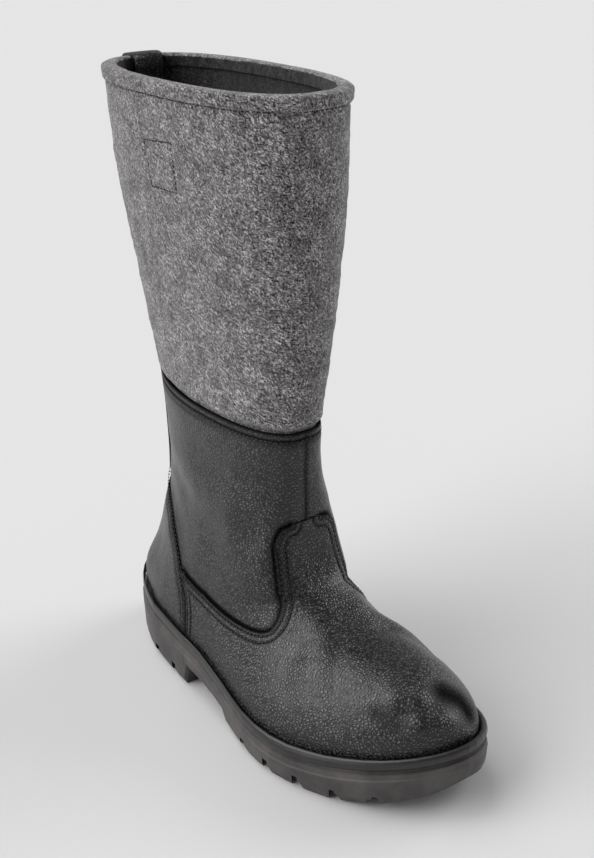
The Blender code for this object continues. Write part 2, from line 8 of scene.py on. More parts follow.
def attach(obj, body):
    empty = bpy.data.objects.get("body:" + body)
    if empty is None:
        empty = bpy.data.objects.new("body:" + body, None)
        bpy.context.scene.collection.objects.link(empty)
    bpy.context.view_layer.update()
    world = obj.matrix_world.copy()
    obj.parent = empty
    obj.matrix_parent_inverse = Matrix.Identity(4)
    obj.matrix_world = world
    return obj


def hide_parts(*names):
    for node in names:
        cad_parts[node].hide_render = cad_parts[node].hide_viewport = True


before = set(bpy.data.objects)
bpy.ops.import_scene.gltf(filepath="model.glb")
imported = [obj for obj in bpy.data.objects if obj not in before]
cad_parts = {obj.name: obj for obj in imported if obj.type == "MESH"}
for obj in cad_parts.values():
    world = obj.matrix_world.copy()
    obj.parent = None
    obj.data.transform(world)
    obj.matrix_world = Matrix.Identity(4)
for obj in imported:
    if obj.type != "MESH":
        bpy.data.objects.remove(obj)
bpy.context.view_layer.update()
print("frame loaded")

# Right-foot winter boot. Sizes are in millimetres in the boot's own plan: x from the sole's heel end
# to the toe, y from the heel's middle to the inner side, z up from the floor.
boot = {
    "heelEndX": -136.127,  # where the heel end and the heel's middle lie in the frame
    "heelMiddleY": 1.701,
    "soleLength": 285.0,
    "heelSet": 3.2,
    "toeSet": 6.5,
    "upperShare": 0.895,
    "wallLean": 0.04,
    "soleGap": 0.6,
    "gap": 0.3,
    "leather": 2.2,
    "overlay": 1.2,
    "felt": 5.5,
}


def toFrame(points):
    return (np.asarray(points) + [boot["heelEndX"], boot["heelMiddleY"], 0.0]) / 1000


def smoothCurve(xs, ys):
    # A cubic through the points that never overshoots them
    xs = np.asarray(xs, float)
    ys = np.asarray(ys, float)
    width = np.diff(xs)
    rise = np.diff(ys) / width
    slope = np.zeros_like(ys)
    slope[0], slope[-1] = rise[0], rise[-1]
    for i in range(1, len(xs) - 1):
        if rise[i - 1] * rise[i] > 0:
            before = 2 * width[i] + width[i - 1]
            after = width[i] + 2 * width[i - 1]
            slope[i] = (before + after) / (before / rise[i - 1] + after / rise[i])

    def at(x):
        x = np.clip(x, xs[0], xs[-1])
        i = np.clip(np.searchsorted(xs, x) - 1, 0, len(xs) - 2)
        t = (x - xs[i]) / width[i]
        start = ys[i] * (1 + 2 * t) * (1 - t) ** 2
        end = ys[i + 1] * t * t * (3 - 2 * t)
        return start + end + width[i] * t * (1 - t) * (slope[i] * (1 - t) - slope[i + 1] * t)

    return at


def ease(share):
    share = np.clip(share, 0.0, 1.0)
    return share * share * (3 - 2 * share)


def rounded(distance, length, fullness):
    share = np.clip(1 - distance / length, 0.0, 1.0)
    return (1 - share**fullness) ** (1 / fullness)


def bell(gap, width):
    return np.exp(-((gap / width) ** 2))


def runLength(places):
    # The length of a line of places up to each of them
    return np.r_[0, np.cumsum(np.linalg.norm(np.diff(places, axis=0), axis=1))]


def addLumps(height, places, width, size, shift=0.0):
    # Adds unevenness about as wide as width and as high as size
    shift = np.broadcast_to(shift, len(places))
    for i, (x, y, z) in enumerate(places):
        height[i] += size * noise.noise(Vector((x / width, y / width, z / width + shift[i])))


# The last: the sole's plan, x, half width, middle, and the middle of the leather's ridge over it
planRows = np.array([
    (0.0, 37.0, 0.5, 4.0),
    (30.0, 37.0, -1.0, 3.0),
    (60.0, 38.5, -4.0, 1.0),
    (100.0, 38.5, -7.8, -1.0),
    (140.0, 43.0, -7.5, 1.0),
    (180.0, 51.5, -5.3, 4.5),
    (205.0, 54.0, -1.0, 5.0),
    (230.0, 54.0, 3.2, 5.5),
    (250.0, 53.5, 6.0, 7.0),
    (285.0, 53.5, 9.5, 9.5),
])
planHalfWidth = smoothCurve(planRows[:, 0], planRows[:, 1])
planCentre = smoothCurve(planRows[:, 0], planRows[:, 2])
ridgeCentre = smoothCurve(planRows[:, 0], planRows[:, 3])

# The groove under the welt in the side view, x and z
grooveRows = np.array([
    (0.0, 35.5), (10.0, 32.8), (30.0, 30.2), (60.0, 29.5), (87.0, 28.3), (110.0, 26.3), (132.0, 23.0),
    (155.0, 19.8), (177.0, 18.2), (200.0, 17.6), (223.0, 19.3), (245.0, 22.8), (262.0, 27.0),
    (273.0, 30.3), (285.0, 34.4),
])
grooveZ = smoothCurve(grooveRows[:, 0], grooveRows[:, 1])
tipX = boot["soleLength"] - boot["toeSet"]


def featherZ(x):
    return grooveZ(x) + boot["soleGap"]


# Sections from the collar to the toe: the back and the front of each in the side view, where its
# width starts to close towards the front, and how square that end is. The last ones stand on the welt.
closedSections = np.array([
    (-10.0, 360.0, 172.6, 359.6, 0.50, 2.5),
    (-7.8, 312.0, 171.6, 311.0, 0.50, 2.5),
    (-0.9, 262.0, 167.6, 261.5, 0.50, 2.5),
    (6.4, 215.0, 162.8, 214.5, 0.50, 2.5),
    (12.4, 177.8, 157.8, 177.4, 0.50, 2.6),
    (15.6, 147.0, 156.2, 147.0, 0.50, 2.8),
    (15.8, 124.0, 156.2, 126.0, 0.52, 3.5),
    (14.4, 103.0, 158.4, 107.0, 0.58, 4.0),
    (11.0, 82.5, 162.2, 94.2, 0.62, 3.8),
    (7.6, 60.0, 166.4, 87.4, 0.62, 3.5),
    (boot["heelSet"], 35.8, 171.0, 83.2, 0.58, 3.0),
])
openSections = np.array([
    (5.6, 174.0, 81.6, 0.56, 2.9),
    (11.0, 177.5, 79.8, 0.53, 2.8),
    (21.0, 182.0, 77.6, 0.50, 2.7),
    (36.0, 187.5, 75.2, 0.46, 2.6),
    (55.0, 194.5, 72.8, 0.40, 2.4),
    (78.0, 203.0, 70.6, 0.36, 2.3),
    (103.0, 212.5, 69.2, 0.32, 2.2),
    (130.0, 223.0, 68.4, 0.28, 2.2),
    (157.0, 233.0, 67.6, 0.24, 2.2),
    (184.0, 242.5, 66.5, 0.20, 2.25),
    (208.0, 251.0, 64.6, 0.20, 2.3),
    (229.0, 258.6, 61.6, 0.22, 2.3),
    (246.0, 265.0, 57.6, 0.24, 2.3),
    (259.0, 270.2, 52.6, 0.26, 2.3),
    (268.5, 274.2, 47.0, 0.28, 2.3),
    (275.0, 276.9, 41.4, 0.30, 2.3),
    (tipX, tipX, float(featherZ(tipX)), 0.30, 2.3),
])
jointRow, seatRow = 4, 10
toeRow = seatRow + len(openSections)
sectionRows = np.arange(toeRow + 1)
backX = smoothCurve(sectionRows, np.r_[closedSections[:, 0], openSections[:, 0]])
closedBackZ = smoothCurve(sectionRows[: seatRow + 1], closedSections[:, 1])
backXAt = smoothCurve(closedSections[::-1, 1], closedSections[::-1, 0])
frontX = smoothCurve(sectionRows, np.r_[closedSections[:, 2], openSections[:, 1]])
frontZ = smoothCurve(sectionRows, np.r_[closedSections[:, 3], openSections[:, 2]])
crownAt = smoothCurve(sectionRows, np.r_[closedSections[:, 4], openSections[:, 3]])
fullnessAt = smoothCurve(sectionRows, np.r_[closedSections[:, 5], openSections[:, 4]])

# The leg by height: half width, the length and squareness of its back end, and its middle at the back
# and at the front
legRows = np.array([
    (0.0, 35.5, 56.0, 2.0, 4.0, -2.0),
    (40.0, 35.5, 60.0, 1.95, 4.0, -2.0),
    (75.0, 35.6, 84.0, 1.65, 4.5, 1.2),
    (103.0, 33.5, 82.0, 1.52, 5.0, 2.0),
    (125.0, 31.0, 74.0, 1.55, 5.0, 2.0),
    (147.0, 28.5, 70.0, 1.65, 5.0, 2.0),
    (178.0, 27.6, 73.0, 1.8, 5.0, 2.5),
    (215.0, 31.0, 79.0, 2.0, 5.0, 3.5),
    (262.0, 35.6, 84.5, 2.2, 5.0, 5.0),
    (312.0, 39.8, 89.5, 2.4, 5.0, 5.0),
    (363.0, 42.0, 91.0, 2.5, 5.0, 5.0),
])
legHalfWidth, legBackLength, legBackFullness, legBackCentre, legFrontCentre = (
    smoothCurve(legRows[:, 0], legRows[:, column]) for column in range(1, 6)
)
footTop, legFoot = 34.0, 106.0


def solePlace(x):
    return boot["soleLength"] * (x - boot["heelSet"]) / (tipX - boot["heelSet"])


def footHalfWidth(x):
    toe = rounded(boot["soleLength"] - solePlace(x), 88.0, 1.95)
    return boot["upperShare"] * planHalfWidth(solePlace(x)) * toe


def surfaceAt(row, turn):
    # Points of the last's surface. turn is 0 at the back, 1 at the front and 2 at the back again.
    row, turn = np.broadcast_arrays(np.asarray(row, float), np.asarray(turn, float))
    side = np.where(turn < 1, -1.0, 1.0)
    half = np.where(turn < 1, turn, 2 - turn)
    roundEnded = (1 - np.cos(math.pi * half)) / 2
    openEnded = np.sin(math.pi / 2 * half)
    share = roundEnded + (openEnded - roundEnded) * ease((row - seatRow) / 5)
    startX = backX(row)
    startZ = np.where(row <= seatRow, closedBackZ(np.minimum(row, seatRow)), featherZ(startX))
    x = startX + share * (frontX(row) - startX)
    z = startZ + share * (frontZ(row) - startZ)
    foot = footHalfWidth(x) * (1 - boot["wallLean"] * ease((z - featherZ(x)) / 45))
    lift = ease((z - footTop) / (legFoot - footTop))
    width = foot + (legHalfWidth(z) - foot) * lift
    fromBack = x - backXAt(z) + np.where(row < seatRow, backXAt(startZ) - startX, 0.0)
    width = width * rounded(fromBack, legBackLength(z), legBackFullness(z))
    width = width * rounded(1 - share, 1 - crownAt(row), fullnessAt(row))
    middle = planCentre(solePlace(x))
    middle = middle + (ridgeCentre(solePlace(x)) - middle) * ease(share)
    leg = legBackCentre(z) * (1 - ease(share)) + legFrontCentre(z) * ease(share)
    return np.stack([x, middle + (leg - middle) * lift + side * width, z], axis=-1)


def outwardAt(row, turn):
    row, turn = np.broadcast_arrays(np.asarray(row, float), np.asarray(turn, float))
    step = 0.02
    down = surfaceAt(np.minimum(row + step, toeRow), turn) - surfaceAt(np.maximum(row - step, 0), turn)
    closed = row <= seatRow
    after = np.where(closed, (turn + step) % 2, np.minimum(turn + step, 2.0))
    before = np.where(closed, (turn - step) % 2, np.maximum(turn - step, 0.0))
    around = surfaceAt(row, after) - surfaceAt(row, before)
    normal = np.cross(down, around)
    length = np.linalg.norm(normal, axis=-1, keepdims=True)
    normal = np.where(length > 1e-9, normal / np.maximum(length, 1e-9), [1.0, 0.0, 0.0])
    return np.where((row >= toeRow - 0.01)[..., None], [1.0, 0.0, 0.0], normal)


def offsetAt(row, turn, offset):
    row, turn, offset = np.broadcast_arrays(*(np.asarray(v, float) for v in (row, turn, offset)))
    places = surfaceAt(row, turn) + offset[..., None] * outwardAt(row, turn)
    onWelt = (row >= seatRow) & ((turn <= 0.0) | (turn >= 2.0)) | (row >= toeRow)
    places[..., 2] = np.where(onWelt, featherZ(places[..., 0]), places[..., 2])
    return places


latticeRow, latticeTurn = np.meshgrid(np.linspace(0, toeRow - 0.02, 320), np.linspace(0.01, 0.995, 110))
latticeRow, latticeTurn = latticeRow.ravel(), latticeTurn.ravel()
latticePlaces = surfaceAt(latticeRow, latticeTurn)


def findOnLast(x, z):
    # The row and turn on the outer side of places given in the side view
    wanted = np.stack([x, z], axis=-1)
    row, turn = np.empty(len(wanted)), np.empty(len(wanted))
    for i, place in enumerate(wanted):
        best = np.argmin(((latticePlaces[:, (0, 2)] - place) ** 2).sum(1))
        row[i], turn[i] = latticeRow[best], latticeTurn[best]
    for _ in range(40):
        here = surfaceAt(row, turn)[:, (0, 2)]
        alongRow = (surfaceAt(row + 0.01, turn)[:, (0, 2)] - here) / 0.01
        alongTurn = (surfaceAt(row, turn + 0.002)[:, (0, 2)] - here) / 0.002
        miss = wanted - here
        area = alongRow[:, 0] * alongTurn[:, 1] - alongRow[:, 1] * alongTurn[:, 0]
        area = np.where(np.abs(area) < 1e-3, 1e-3, area)
        stepRow = (miss[:, 0] * alongTurn[:, 1] - miss[:, 1] * alongTurn[:, 0]) / area
        stepTurn = (alongRow[:, 0] * miss[:, 1] - alongRow[:, 1] * miss[:, 0]) / area
        row = np.clip(row + np.clip(stepRow, -0.5, 0.5) * 0.8, 0, toeRow - 0.02)
        turn = np.clip(turn + np.clip(stepTurn, -0.05, 0.05) * 0.8, 0.0, 0.998)
    return row, turn


def roundedLine(points, steps=6):
    # A smooth line through the points
    points = np.asarray(points, float)
    padded = np.vstack([2 * points[0] - points[1], points, 2 * points[-1] - points[-2]])
    line = []
    for a, b, c, d in zip(padded, padded[1:], padded[2:], padded[3:]):
        for t in np.linspace(0, 1, steps, endpoint=False):
            line.append(0.5 * (2 * b + (c - a) * t + (2 * a - 5 * b + 4 * c - d) * t**2
                               + (3 * b - a - 3 * c + d) * t**3))
    return np.array(line + [points[-1]])


def lineDistance(places, line):
    # How far places are from a line, in as many directions as both have
    nearest = np.full(len(places), 1e9)
    for start, end in zip(line, line[1:]):
        run = end - start
        share = np.clip((places - start) @ run / max(run @ run, 1e-9), 0, 1)
        gap = np.linalg.norm(places - start - share[:, None] * run, axis=1)
        nearest = np.minimum(nearest, gap)
    return nearest


# The leather's seams in the side view
vampEdge = roundedLine([
    (176.0, 124.0), (157.4, 123.4), (154.2, 117.0), (155.0, 108.0), (158.4, 95.0), (162.6, 84.6),
    (165.8, 77.0), (166.4, 71.5), (163.4, 66.0), (154.5, 62.8), (137.0, 61.7), (120.0, 62.8),
    (103.0, 65.0), (91.7, 67.2), (79.4, 69.9),
])
counterEdge = roundedLine([
    (-20.0, 104.6), (10.0, 104.0), (18.7, 101.0), (29.0, 97.6), (40.3, 94.7), (51.7, 91.0),
    (63.2, 82.9), (74.7, 72.8), (82.8, 62.0), (88.6, 49.0), (92.3, 36.0), (93.0, 10.0),
])

# Soft creases and swellings of the leather in the side view, on the outer side, the inner side or both:
# a line, how wide it is, and how high or deep
creases = [
    {"line": [(150, 150), (147, 132), (144, 112)], "side": "outer", "width": 7, "height": -1.0},
    {"line": [(128, 158), (124, 134), (126, 112)], "side": "outer", "width": 9, "height": 0.9},
    {"line": [(60, 120), (86, 112), (112, 104)], "side": "both", "width": 9, "height": -0.8},
    {"line": [(52, 140), (84, 134), (118, 126)], "side": "both", "width": 10, "height": 0.7},
    {"line": [(30, 128), (52, 122), (70, 116)], "side": "both", "width": 7, "height": -0.6},
    {"line": [(112, 92), (130, 84), (148, 80)], "side": "both", "width": 7, "height": -0.7},
    {"line": [(168, 82), (182, 66), (190, 50)], "side": "both", "width": 8, "height": -0.9},
    {"line": [(186, 74), (202, 60), (210, 46)], "side": "both", "width": 8, "height": 0.8},
    {"line": [(206, 68), (221, 56), (230, 42)], "side": "both", "width": 6, "height": -0.8},
]
# Folds and dents given by place and height, five on the toe and the last down the quarter's front, with
# the painted shade in each
placedFolds = [
    {"line": [(249.8, -11.8, 60.9), (260, -5, 58.5)], "width": 5.5, "height": 1.4, "dark": 0},
    {"line": [(267, -8, 51), (272.3, 5.9, 49.9)], "width": 5, "height": 1.2, "dark": 0},
    {
        "line": [(261, 12, 59), (266, 20, 53.5), (270, 22.3, 47.6)],
        "width": 7.5,
        "height": -1.7,
        "dark": 0.95,
    },
    {"line": [(248.8, -21.1, 52.6), (258.6, -17.4, 49.4)], "width": 5, "height": -1.1, "dark": 0.35},
    {"line": [(257, -14, 54.8), (266, 2, 55)], "width": 3, "height": -0.7, "dark": 0.2},
    {
        "line": [(136, -36, 168), (134, -37, 140), (134, -37, 120)],
        "width": 9,
        "height": -0.9,
        "dark": 0.6,
    },
]
# How the relief fades towards the leather's top edge, the welt and the back seam
fade = {"topZ": 177.0, "top": 14, "welt": 12, "back": 0.16}
# The heel's swelling: how high, how far above the welt and how tall, and where it ends to the front
heelCup = {"height": 2.4, "above": 13, "width": 12, "endX": 60, "fade": 50}
# Slow unevenness of the hide over the last: width, height and shift of each layer
hideLumps = ((23, 0.45, 0), (9, 0.18, 5))


def surfaceLine(line, side):
    # A line on the last's surface from places in the side view
    line = roundedLine(line, 4)
    row, turn = findOnLast(line[:, 0], line[:, 1])
    return surfaceAt(row, turn if side == "outer" else 2 - turn)


creaseLines = []
for crease in creases:
    sides = ("outer", "inner") if crease["side"] == "both" else (crease["side"],)
    for side in sides:
        creaseLines.append((surfaceLine(crease["line"], side), crease["width"], crease["height"]))
for fold in placedFolds:
    creaseLines.append((np.array(fold["line"], float), fold["width"], fold["height"]))


def leatherRelief(row, turn):
    places = surfaceAt(row, turn)
    height = np.zeros(len(places))
    for line, width, depth in creaseLines:
        near = np.linalg.norm(places - line.mean(0), axis=1) < 110
        height[near] += depth * bell(lineDistance(places[near], line), width)
    for width, size, shift in hideLumps:
        addLumps(height, places, width, size, shift)
    above = places[:, 2] - featherZ(places[:, 0])
    awayFromTop = ease((fade["topZ"] - places[:, 2]) / fade["top"])
    awayFromWelt = ease(above / fade["welt"])
    awayFromBack = ease(np.abs(np.where(turn < 1, turn, 2 - turn)) / fade["back"])
    swelling = heelCup["height"] * bell(above - heelCup["above"], heelCup["width"])
    swelling = swelling * ease((heelCup["endX"] - places[:, 0]) / heelCup["fade"])
    return (height * awayFromTop * awayFromBack + swelling) * awayFromWelt


def selectOnly(piece):
    bpy.ops.object.select_all(action="DESELECT")
    bpy.context.view_layer.objects.active = piece
    piece.select_set(True)


def evenTurns(rows, count):
    # For each row, turns that lie evenly round its section
    fine = np.linspace(0, 1, 500)
    half = 1 - (1 - fine) ** 2  # closer together at the blunt front
    fine = np.r_[half, 2 - half[-2::-1]]
    turns = np.empty((len(rows), count))
    for k, row in enumerate(rows):
        line = surfaceAt(np.full(len(fine), row), fine)
        length = np.r_[0, np.cumsum(np.linalg.norm(np.diff(line, axis=0), axis=1) + 1e-7)]
        turns[k] = np.interp(np.linspace(0, length[-1], count), length, fine)
    turns[:, 0], turns[:, -1] = 0.0, 2.0
    return turns


def mappedGrid(name, places):
    # A grid primitive whose corners are laid at the places, an array by row, column and direction
    rows, columns = places.shape[:2]
    bpy.ops.mesh.primitive_grid_add(
        x_subdivisions=columns - 1, y_subdivisions=rows - 1, size=1, location=(0, 0, 0)
    )
    piece = bpy.context.object
    piece.name = piece.data.name = name
    flat = np.empty(len(piece.data.vertices) * 3)
    piece.data.vertices.foreach_get("co", flat)
    flat = flat.reshape(-1, 3)
    column = np.rint((flat[:, 0] + 0.5) * (columns - 1)).astype(int)
    row = np.rint((0.5 - flat[:, 1]) * (rows - 1)).astype(int)
    piece.data.vertices.foreach_set("co", toFrame(places[row, column]).ravel())
    piece.data.update()
    return piece, row, column


def editAll(piece, operator, **settings):
    selectOnly(piece)
    bpy.ops.object.mode_set(mode="EDIT")
    bpy.ops.mesh.select_all(action="SELECT")
    operator(**settings)
    bpy.ops.object.mode_set(mode="OBJECT")


def closeSeams(piece):
    editAll(piece, bpy.ops.mesh.remove_doubles, threshold=0.000002)


def insideOutline(x, z, outline):
    inside = np.zeros(x.shape, bool)
    for (x1, z1), (x2, z2) in zip(outline, np.roll(outline, -1, axis=0)):
        if z1 != z2:
            crosses = ((z1 > z) != (z2 > z)) & (x < (x2 - x1) * (z - z1) / (z2 - z1) + x1)
            inside ^= crosses
    return inside


def trimToOutline(rows, turns, outline, seamLines):
    # Moves the grid's corners that lie next to the outline onto it, and says which are outside it
    places = surfaceAt(rows, turns)
    flat = places.reshape(-1, 3)
    distance = np.full(len(flat), 1e9)
    for line in seamLines:
        distance = np.minimum(distance, lineDistance(flat, line))
    inside = insideOutline(flat[:, 0], flat[:, 2], outline)
    signed = np.where(inside, distance, -distance).reshape(rows.shape)
    rows, turns = rows.copy(), turns.copy()
    first = signed.copy()
    best = np.full(rows.shape, 1e9)
    moves = []
    for down, right in ((1, 0), (0, 1)):
        a = first[: first.shape[0] - down, : first.shape[1] - right]
        b = first[down:, right:]
        crossing = (a > 0) != (b > 0)
        share = np.where(crossing, a / np.where(crossing, a - b, 1.0), 0.0)
        for i, j in zip(*np.nonzero(crossing & (share <= 0.5))):
            moves.append((share[i, j], i, j, i + down, j + right))
        for i, j in zip(*np.nonzero(crossing & (1 - share <= 0.5))):
            moves.append((1 - share[i, j], i + down, j + right, i, j))
    firstRows, firstTurns = rows.copy(), turns.copy()
    for part, i, j, oi, oj in moves:
        if part < best[i, j]:
            best[i, j] = part
            rows[i, j] = firstRows[i, j] + part * (firstRows[oi, oj] - firstRows[i, j])
            turns[i, j] = firstTurns[i, j] + part * (firstTurns[oi, oj] - firstTurns[i, j])
            signed[i, j] = 0.0
    # A cell with a corner on each side has its outer corner brought in as well
    for i in range(rows.shape[0] - 1):
        cells = np.stack([signed[i, :-1], signed[i, 1:], signed[i + 1, 1:], signed[i + 1, :-1]])
        for j in np.nonzero((cells.max(0) > 0) & (cells.min(0) < 0))[0]:
            corners = [(i, j), (i, j + 1), (i + 1, j + 1), (i + 1, j)]
            inner = max(corners, key=lambda c: signed[c])
            for c in corners:
                if signed[c] < 0:
                    part = first[c] / (first[c] - first[inner])
                    rows[c] = firstRows[c] + part * (firstRows[inner] - firstRows[c])
                    turns[c] = firstTurns[c] + part * (firstTurns[inner] - firstTurns[c])
                    signed[c] = 0.0
    return rows, turns, signed


def dropOutside(piece, row, column, signed):
    # Deletes the faces that have a corner outside
    selectOnly(piece)
    corner = signed[row, column]
    bpy.ops.object.mode_set(mode="EDIT")
    bpy.ops.mesh.select_mode(type="FACE")
    bpy.ops.mesh.select_all(action="DESELECT")
    bpy.ops.object.mode_set(mode="OBJECT")
    for face in piece.data.polygons:
        heights = [corner[v] for v in face.vertices]
        face.select = min(heights) < 0 or max(heights) <= 0
    bpy.ops.object.mode_set(mode="EDIT")
    bpy.ops.mesh.delete(type="FACE")
    bpy.ops.object.mode_set(mode="OBJECT")


def applyAll(piece):
    selectOnly(piece)
    for modifier in list(piece.modifiers):
        bpy.ops.object.modifier_apply(modifier=modifier.name)


def thicken(piece, thickness):
    wall = piece.modifiers.new("wall", "SOLIDIFY")
    wall.thickness = thickness / 1000
    wall.offset = -1
    applyAll(piece)


def finishPiece(piece, material, angle=50):
    piece.data.materials.append(material)
    selectOnly(piece)
    bpy.ops.object.shade_smooth_by_angle(angle=math.radians(angle))
    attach(piece, "root")
    return piece


def linear(hexColour):
    parts = [int(hexColour[i : i + 2], 16) / 255 for i in (1, 3, 5)]
    return (*(p / 12.92 if p <= 0.04045 else ((p + 0.055) / 1.055) ** 2.4 for p in parts), 1.0)


def addNode(tree, kind, sockets=None, **settings):
    node = tree.nodes.new(kind)
    for name, value in settings.items():
        setattr(node, name, value)
    for name, value in (sockets or {}).items():
        if isinstance(value, bpy.types.NodeSocket):
            tree.links.new(value, node.inputs[name])
        else:
            node.inputs[name].default_value = value
    return node


def newMaterial(name):
    made = bpy.data.materials.new(name)
    made.use_nodes = True
    tree = made.node_tree
    return made, tree, tree.nodes["Principled BSDF"]


def mathNode(tree, operation, *values, **settings):
    sockets = dict(enumerate(values))
    return addNode(tree, "ShaderNodeMath", sockets, operation=operation, **settings).outputs[0]


def mapRange(tree, value, start, end, toStart=0.0, toEnd=1.0, **settings):
    sockets = {0: value, 1: start, 2: end, 3: toStart, 4: toEnd}
    return addNode(tree, "ShaderNodeMapRange", sockets, **settings).outputs[0]


def mixColours(tree, share, first, second):
    sockets = {0: share, 6: first, 7: second}
    return addNode(tree, "ShaderNodeMix", sockets, data_type="RGBA").outputs[2]


def noiseNode(tree, place, scale, detail, **sockets):
    sockets = {"Vector": place, "Scale": scale, "Detail": detail, **sockets}
    return addNode(tree, "ShaderNodeTexNoise", sockets).outputs


def bumpSurface(tree, shader, height, distance, strength):
    sockets = {"Height": height, "Distance": distance, "Strength": strength}
    bump = addNode(tree, "ShaderNodeBump", sockets)
    tree.links.new(bump.outputs[0], shader.inputs["Normal"])


# Heathered wool felt, needled from light and dark fibres: matt, with short fibres lying every way
feltLook = {
    "dark": "#100f11",
    "middle": "#666466",
    "light": "#d6d3d1",
    "fibreWidth": 0.8,  # mm, coarser than wool so that it shows
    "fibreLength": 3.0,
    "fibreTurns": ((0.3, 0.5, 0.2), (1.4, 0.9, 1.1), (0.8, 2.1, 2.3), (2.2, 0.1, 0.7)),
    "lightFrom": (0.53, 0.66),
    "darkFrom": (0.45, 0.37),
    "mottle": 11.0,
    "cloud": (0.57, 1.18),
    "nap": 0.5,
}


def makeFelt(name, look, shade=1.0):
    made, tree, shader = newMaterial(name)
    place = addNode(tree, "ShaderNodeTexCoord").outputs["Object"]
    across, length = look["fibreWidth"] / 1000, look["fibreLength"] / 1000
    fibres = []
    for turn in look["fibreTurns"]:
        turned = addNode(
            tree,
            "ShaderNodeMapping",
            {"Vector": place, "Rotation": turn, "Scale": (length, across, across)},
            vector_type="TEXTURE",
        )
        grain = noiseNode(tree, turned.outputs[0], 1.0, 2.0, Roughness=0.6, Distortion=0.8)
        fibres.append(grain[0])
    lightFibres = mathNode(tree, "MAXIMUM", fibres[0], fibres[1])
    darkFibres = mathNode(tree, "MINIMUM", fibres[2], fibres[3])
    mottle = noiseNode(tree, place, 1000 / look["mottle"], 3.0, Roughness=0.6)
    dim, bright = (limit * shade for limit in look["cloud"])
    cloud = mapRange(tree, mottle[0], 0.32, 0.68, dim, bright)
    lightShare = mapRange(tree, lightFibres, *look["lightFrom"])
    darkShare = mapRange(tree, darkFibres, *look["darkFrom"])
    withLight = mixColours(tree, lightShare, linear(look["middle"]), linear(look["light"]))
    withDark = mixColours(tree, darkShare, withLight, linear(look["dark"]))
    clouded = addNode(tree, "ShaderNodeVectorMath", {0: withDark, 3: cloud}, operation="SCALE")
    tree.links.new(clouded.outputs[0], shader.inputs["Base Color"])
    height = mathNode(tree, "ADD", lightFibres, darkFibres)
    bumpSurface(tree, shader, height, look["nap"] / 1000 * 2, 0.7)
    shader.inputs["Roughness"].default_value = 0.95
    shader.inputs["Specular IOR Level"].default_value = 0.2
    shader.inputs["Sheen Weight"].default_value = 0.25
    shader.inputs["Sheen Roughness"].default_value = 0.5
    return made


# Full-grain cowhide, milled and finished black, with a soft sheen. Scales are in waves per metre.
leatherLook = {
    "valley": "#010101",
    "pebble": "#3b3a3b",
    # the colour of the painted shade in seams, sewn rows and dents
    "paintedShadeTone": "#020202",
    "pebbleWidth": 1.8,  # a little coarser than the hide's, so that it shows
    "crownEdge": 0.42,
    "wanderScale": 260.0,
    "wander": 0.0016,
    "poreScale": 2600.0,
    "wornScale": 38.0,
    "grainHeight": 0.2,
    "roughness": 0.33,
}


def makeLeather(name, look, smoothness=0.0):
    made, tree, shader = newMaterial(name)
    place = addNode(tree, "ShaderNodeTexCoord").outputs["Object"]
    wander = noiseNode(tree, place, look["wanderScale"], 2.0)[1]
    wandered = addNode(tree, "ShaderNodeVectorMath", {0: wander, 3: look["wander"]}, operation="SCALE")
    moved = addNode(tree, "ShaderNodeVectorMath", {0: place, 1: wandered.outputs[0]}, operation="ADD")
    pebbles = addNode(
        tree,
        "ShaderNodeTexVoronoi",
        {"Vector": moved.outputs[0], "Scale": 1000 / look["pebbleWidth"], "Randomness": 0.95},
        feature="DISTANCE_TO_EDGE",
    )
    crown = mapRange(tree, pebbles.outputs[0], 0.0, look["crownEdge"], interpolation_type="SMOOTHSTEP")
    pores = noiseNode(tree, place, look["poreScale"], 3.0, Roughness=0.6)[0]
    worn = noiseNode(tree, place, look["wornScale"], 4.0, Roughness=0.55)[0]
    tone = mixColours(tree, crown, linear(look["valley"]), linear(look["pebble"]))
    # Painted shade: seams, sewn rows, overlay edges and dents are darkened and dulled where shade falls
    seam = addNode(tree, "ShaderNodeAttribute", attribute_name="paintedCreaseShade").outputs["Fac"]
    paintedShadeMix = mixColours(tree, seam, tone, linear(look["paintedShadeTone"]))
    tree.links.new(paintedShadeMix, shader.inputs["Base Color"])
    rough = mapRange(tree, worn, 0.3, 0.7, look["roughness"] - 0.03, look["roughness"] + 0.05)
    dull = mathNode(tree, "MULTIPLY_ADD", seam, 0.6, rough, use_clamp=True)
    tree.links.new(dull, shader.inputs["Roughness"])
    height = mathNode(tree, "MULTIPLY_ADD", pores, 0.15, crown)
    bumpSurface(tree, shader, height, look["grainHeight"] / 1000, 1.0 - 0.6 * smoothness)
    # The pebbles' crowns are polished and the valleys between them aren't
    polish = mathNode(tree, "MULTIPLY_ADD", crown, 0.32, 0.5)
    # Painted shade also takes the shine off seams, sewn rows and dents
    shineOutsideShade = mathNode(tree, "MULTIPLY_ADD", seam, -0.85, 1.0)
    shine = mathNode(tree, "MULTIPLY", polish, shineOutsideShade)
    tree.links.new(shine, shader.inputs["Specular IOR Level"])
    return made


# Moulded rubber: dense, with a fine matt texture and a faint bloom
rubberLook = {"deep": "#373434", "bloom": "#544f4f", "texture": 0.5, "roughness": 0.62}
weltLook = {"deep": "#1b1a1a", "bloom": "#292727", "texture": 0.8, "roughness": 0.36}
insoleLook = {"deep": "#101011", "bloom": "#242425", "texture": 0.9, "roughness": 0.95}
threadLook = {"deep": "#0d0d0d", "bloom": "#1d1c1c", "texture": 0.3, "roughness": 0.5}
feltThreadLook = {"deep": "#0b0b0c", "bloom": "#1b1a1c", "texture": 0.3, "roughness": 0.9}


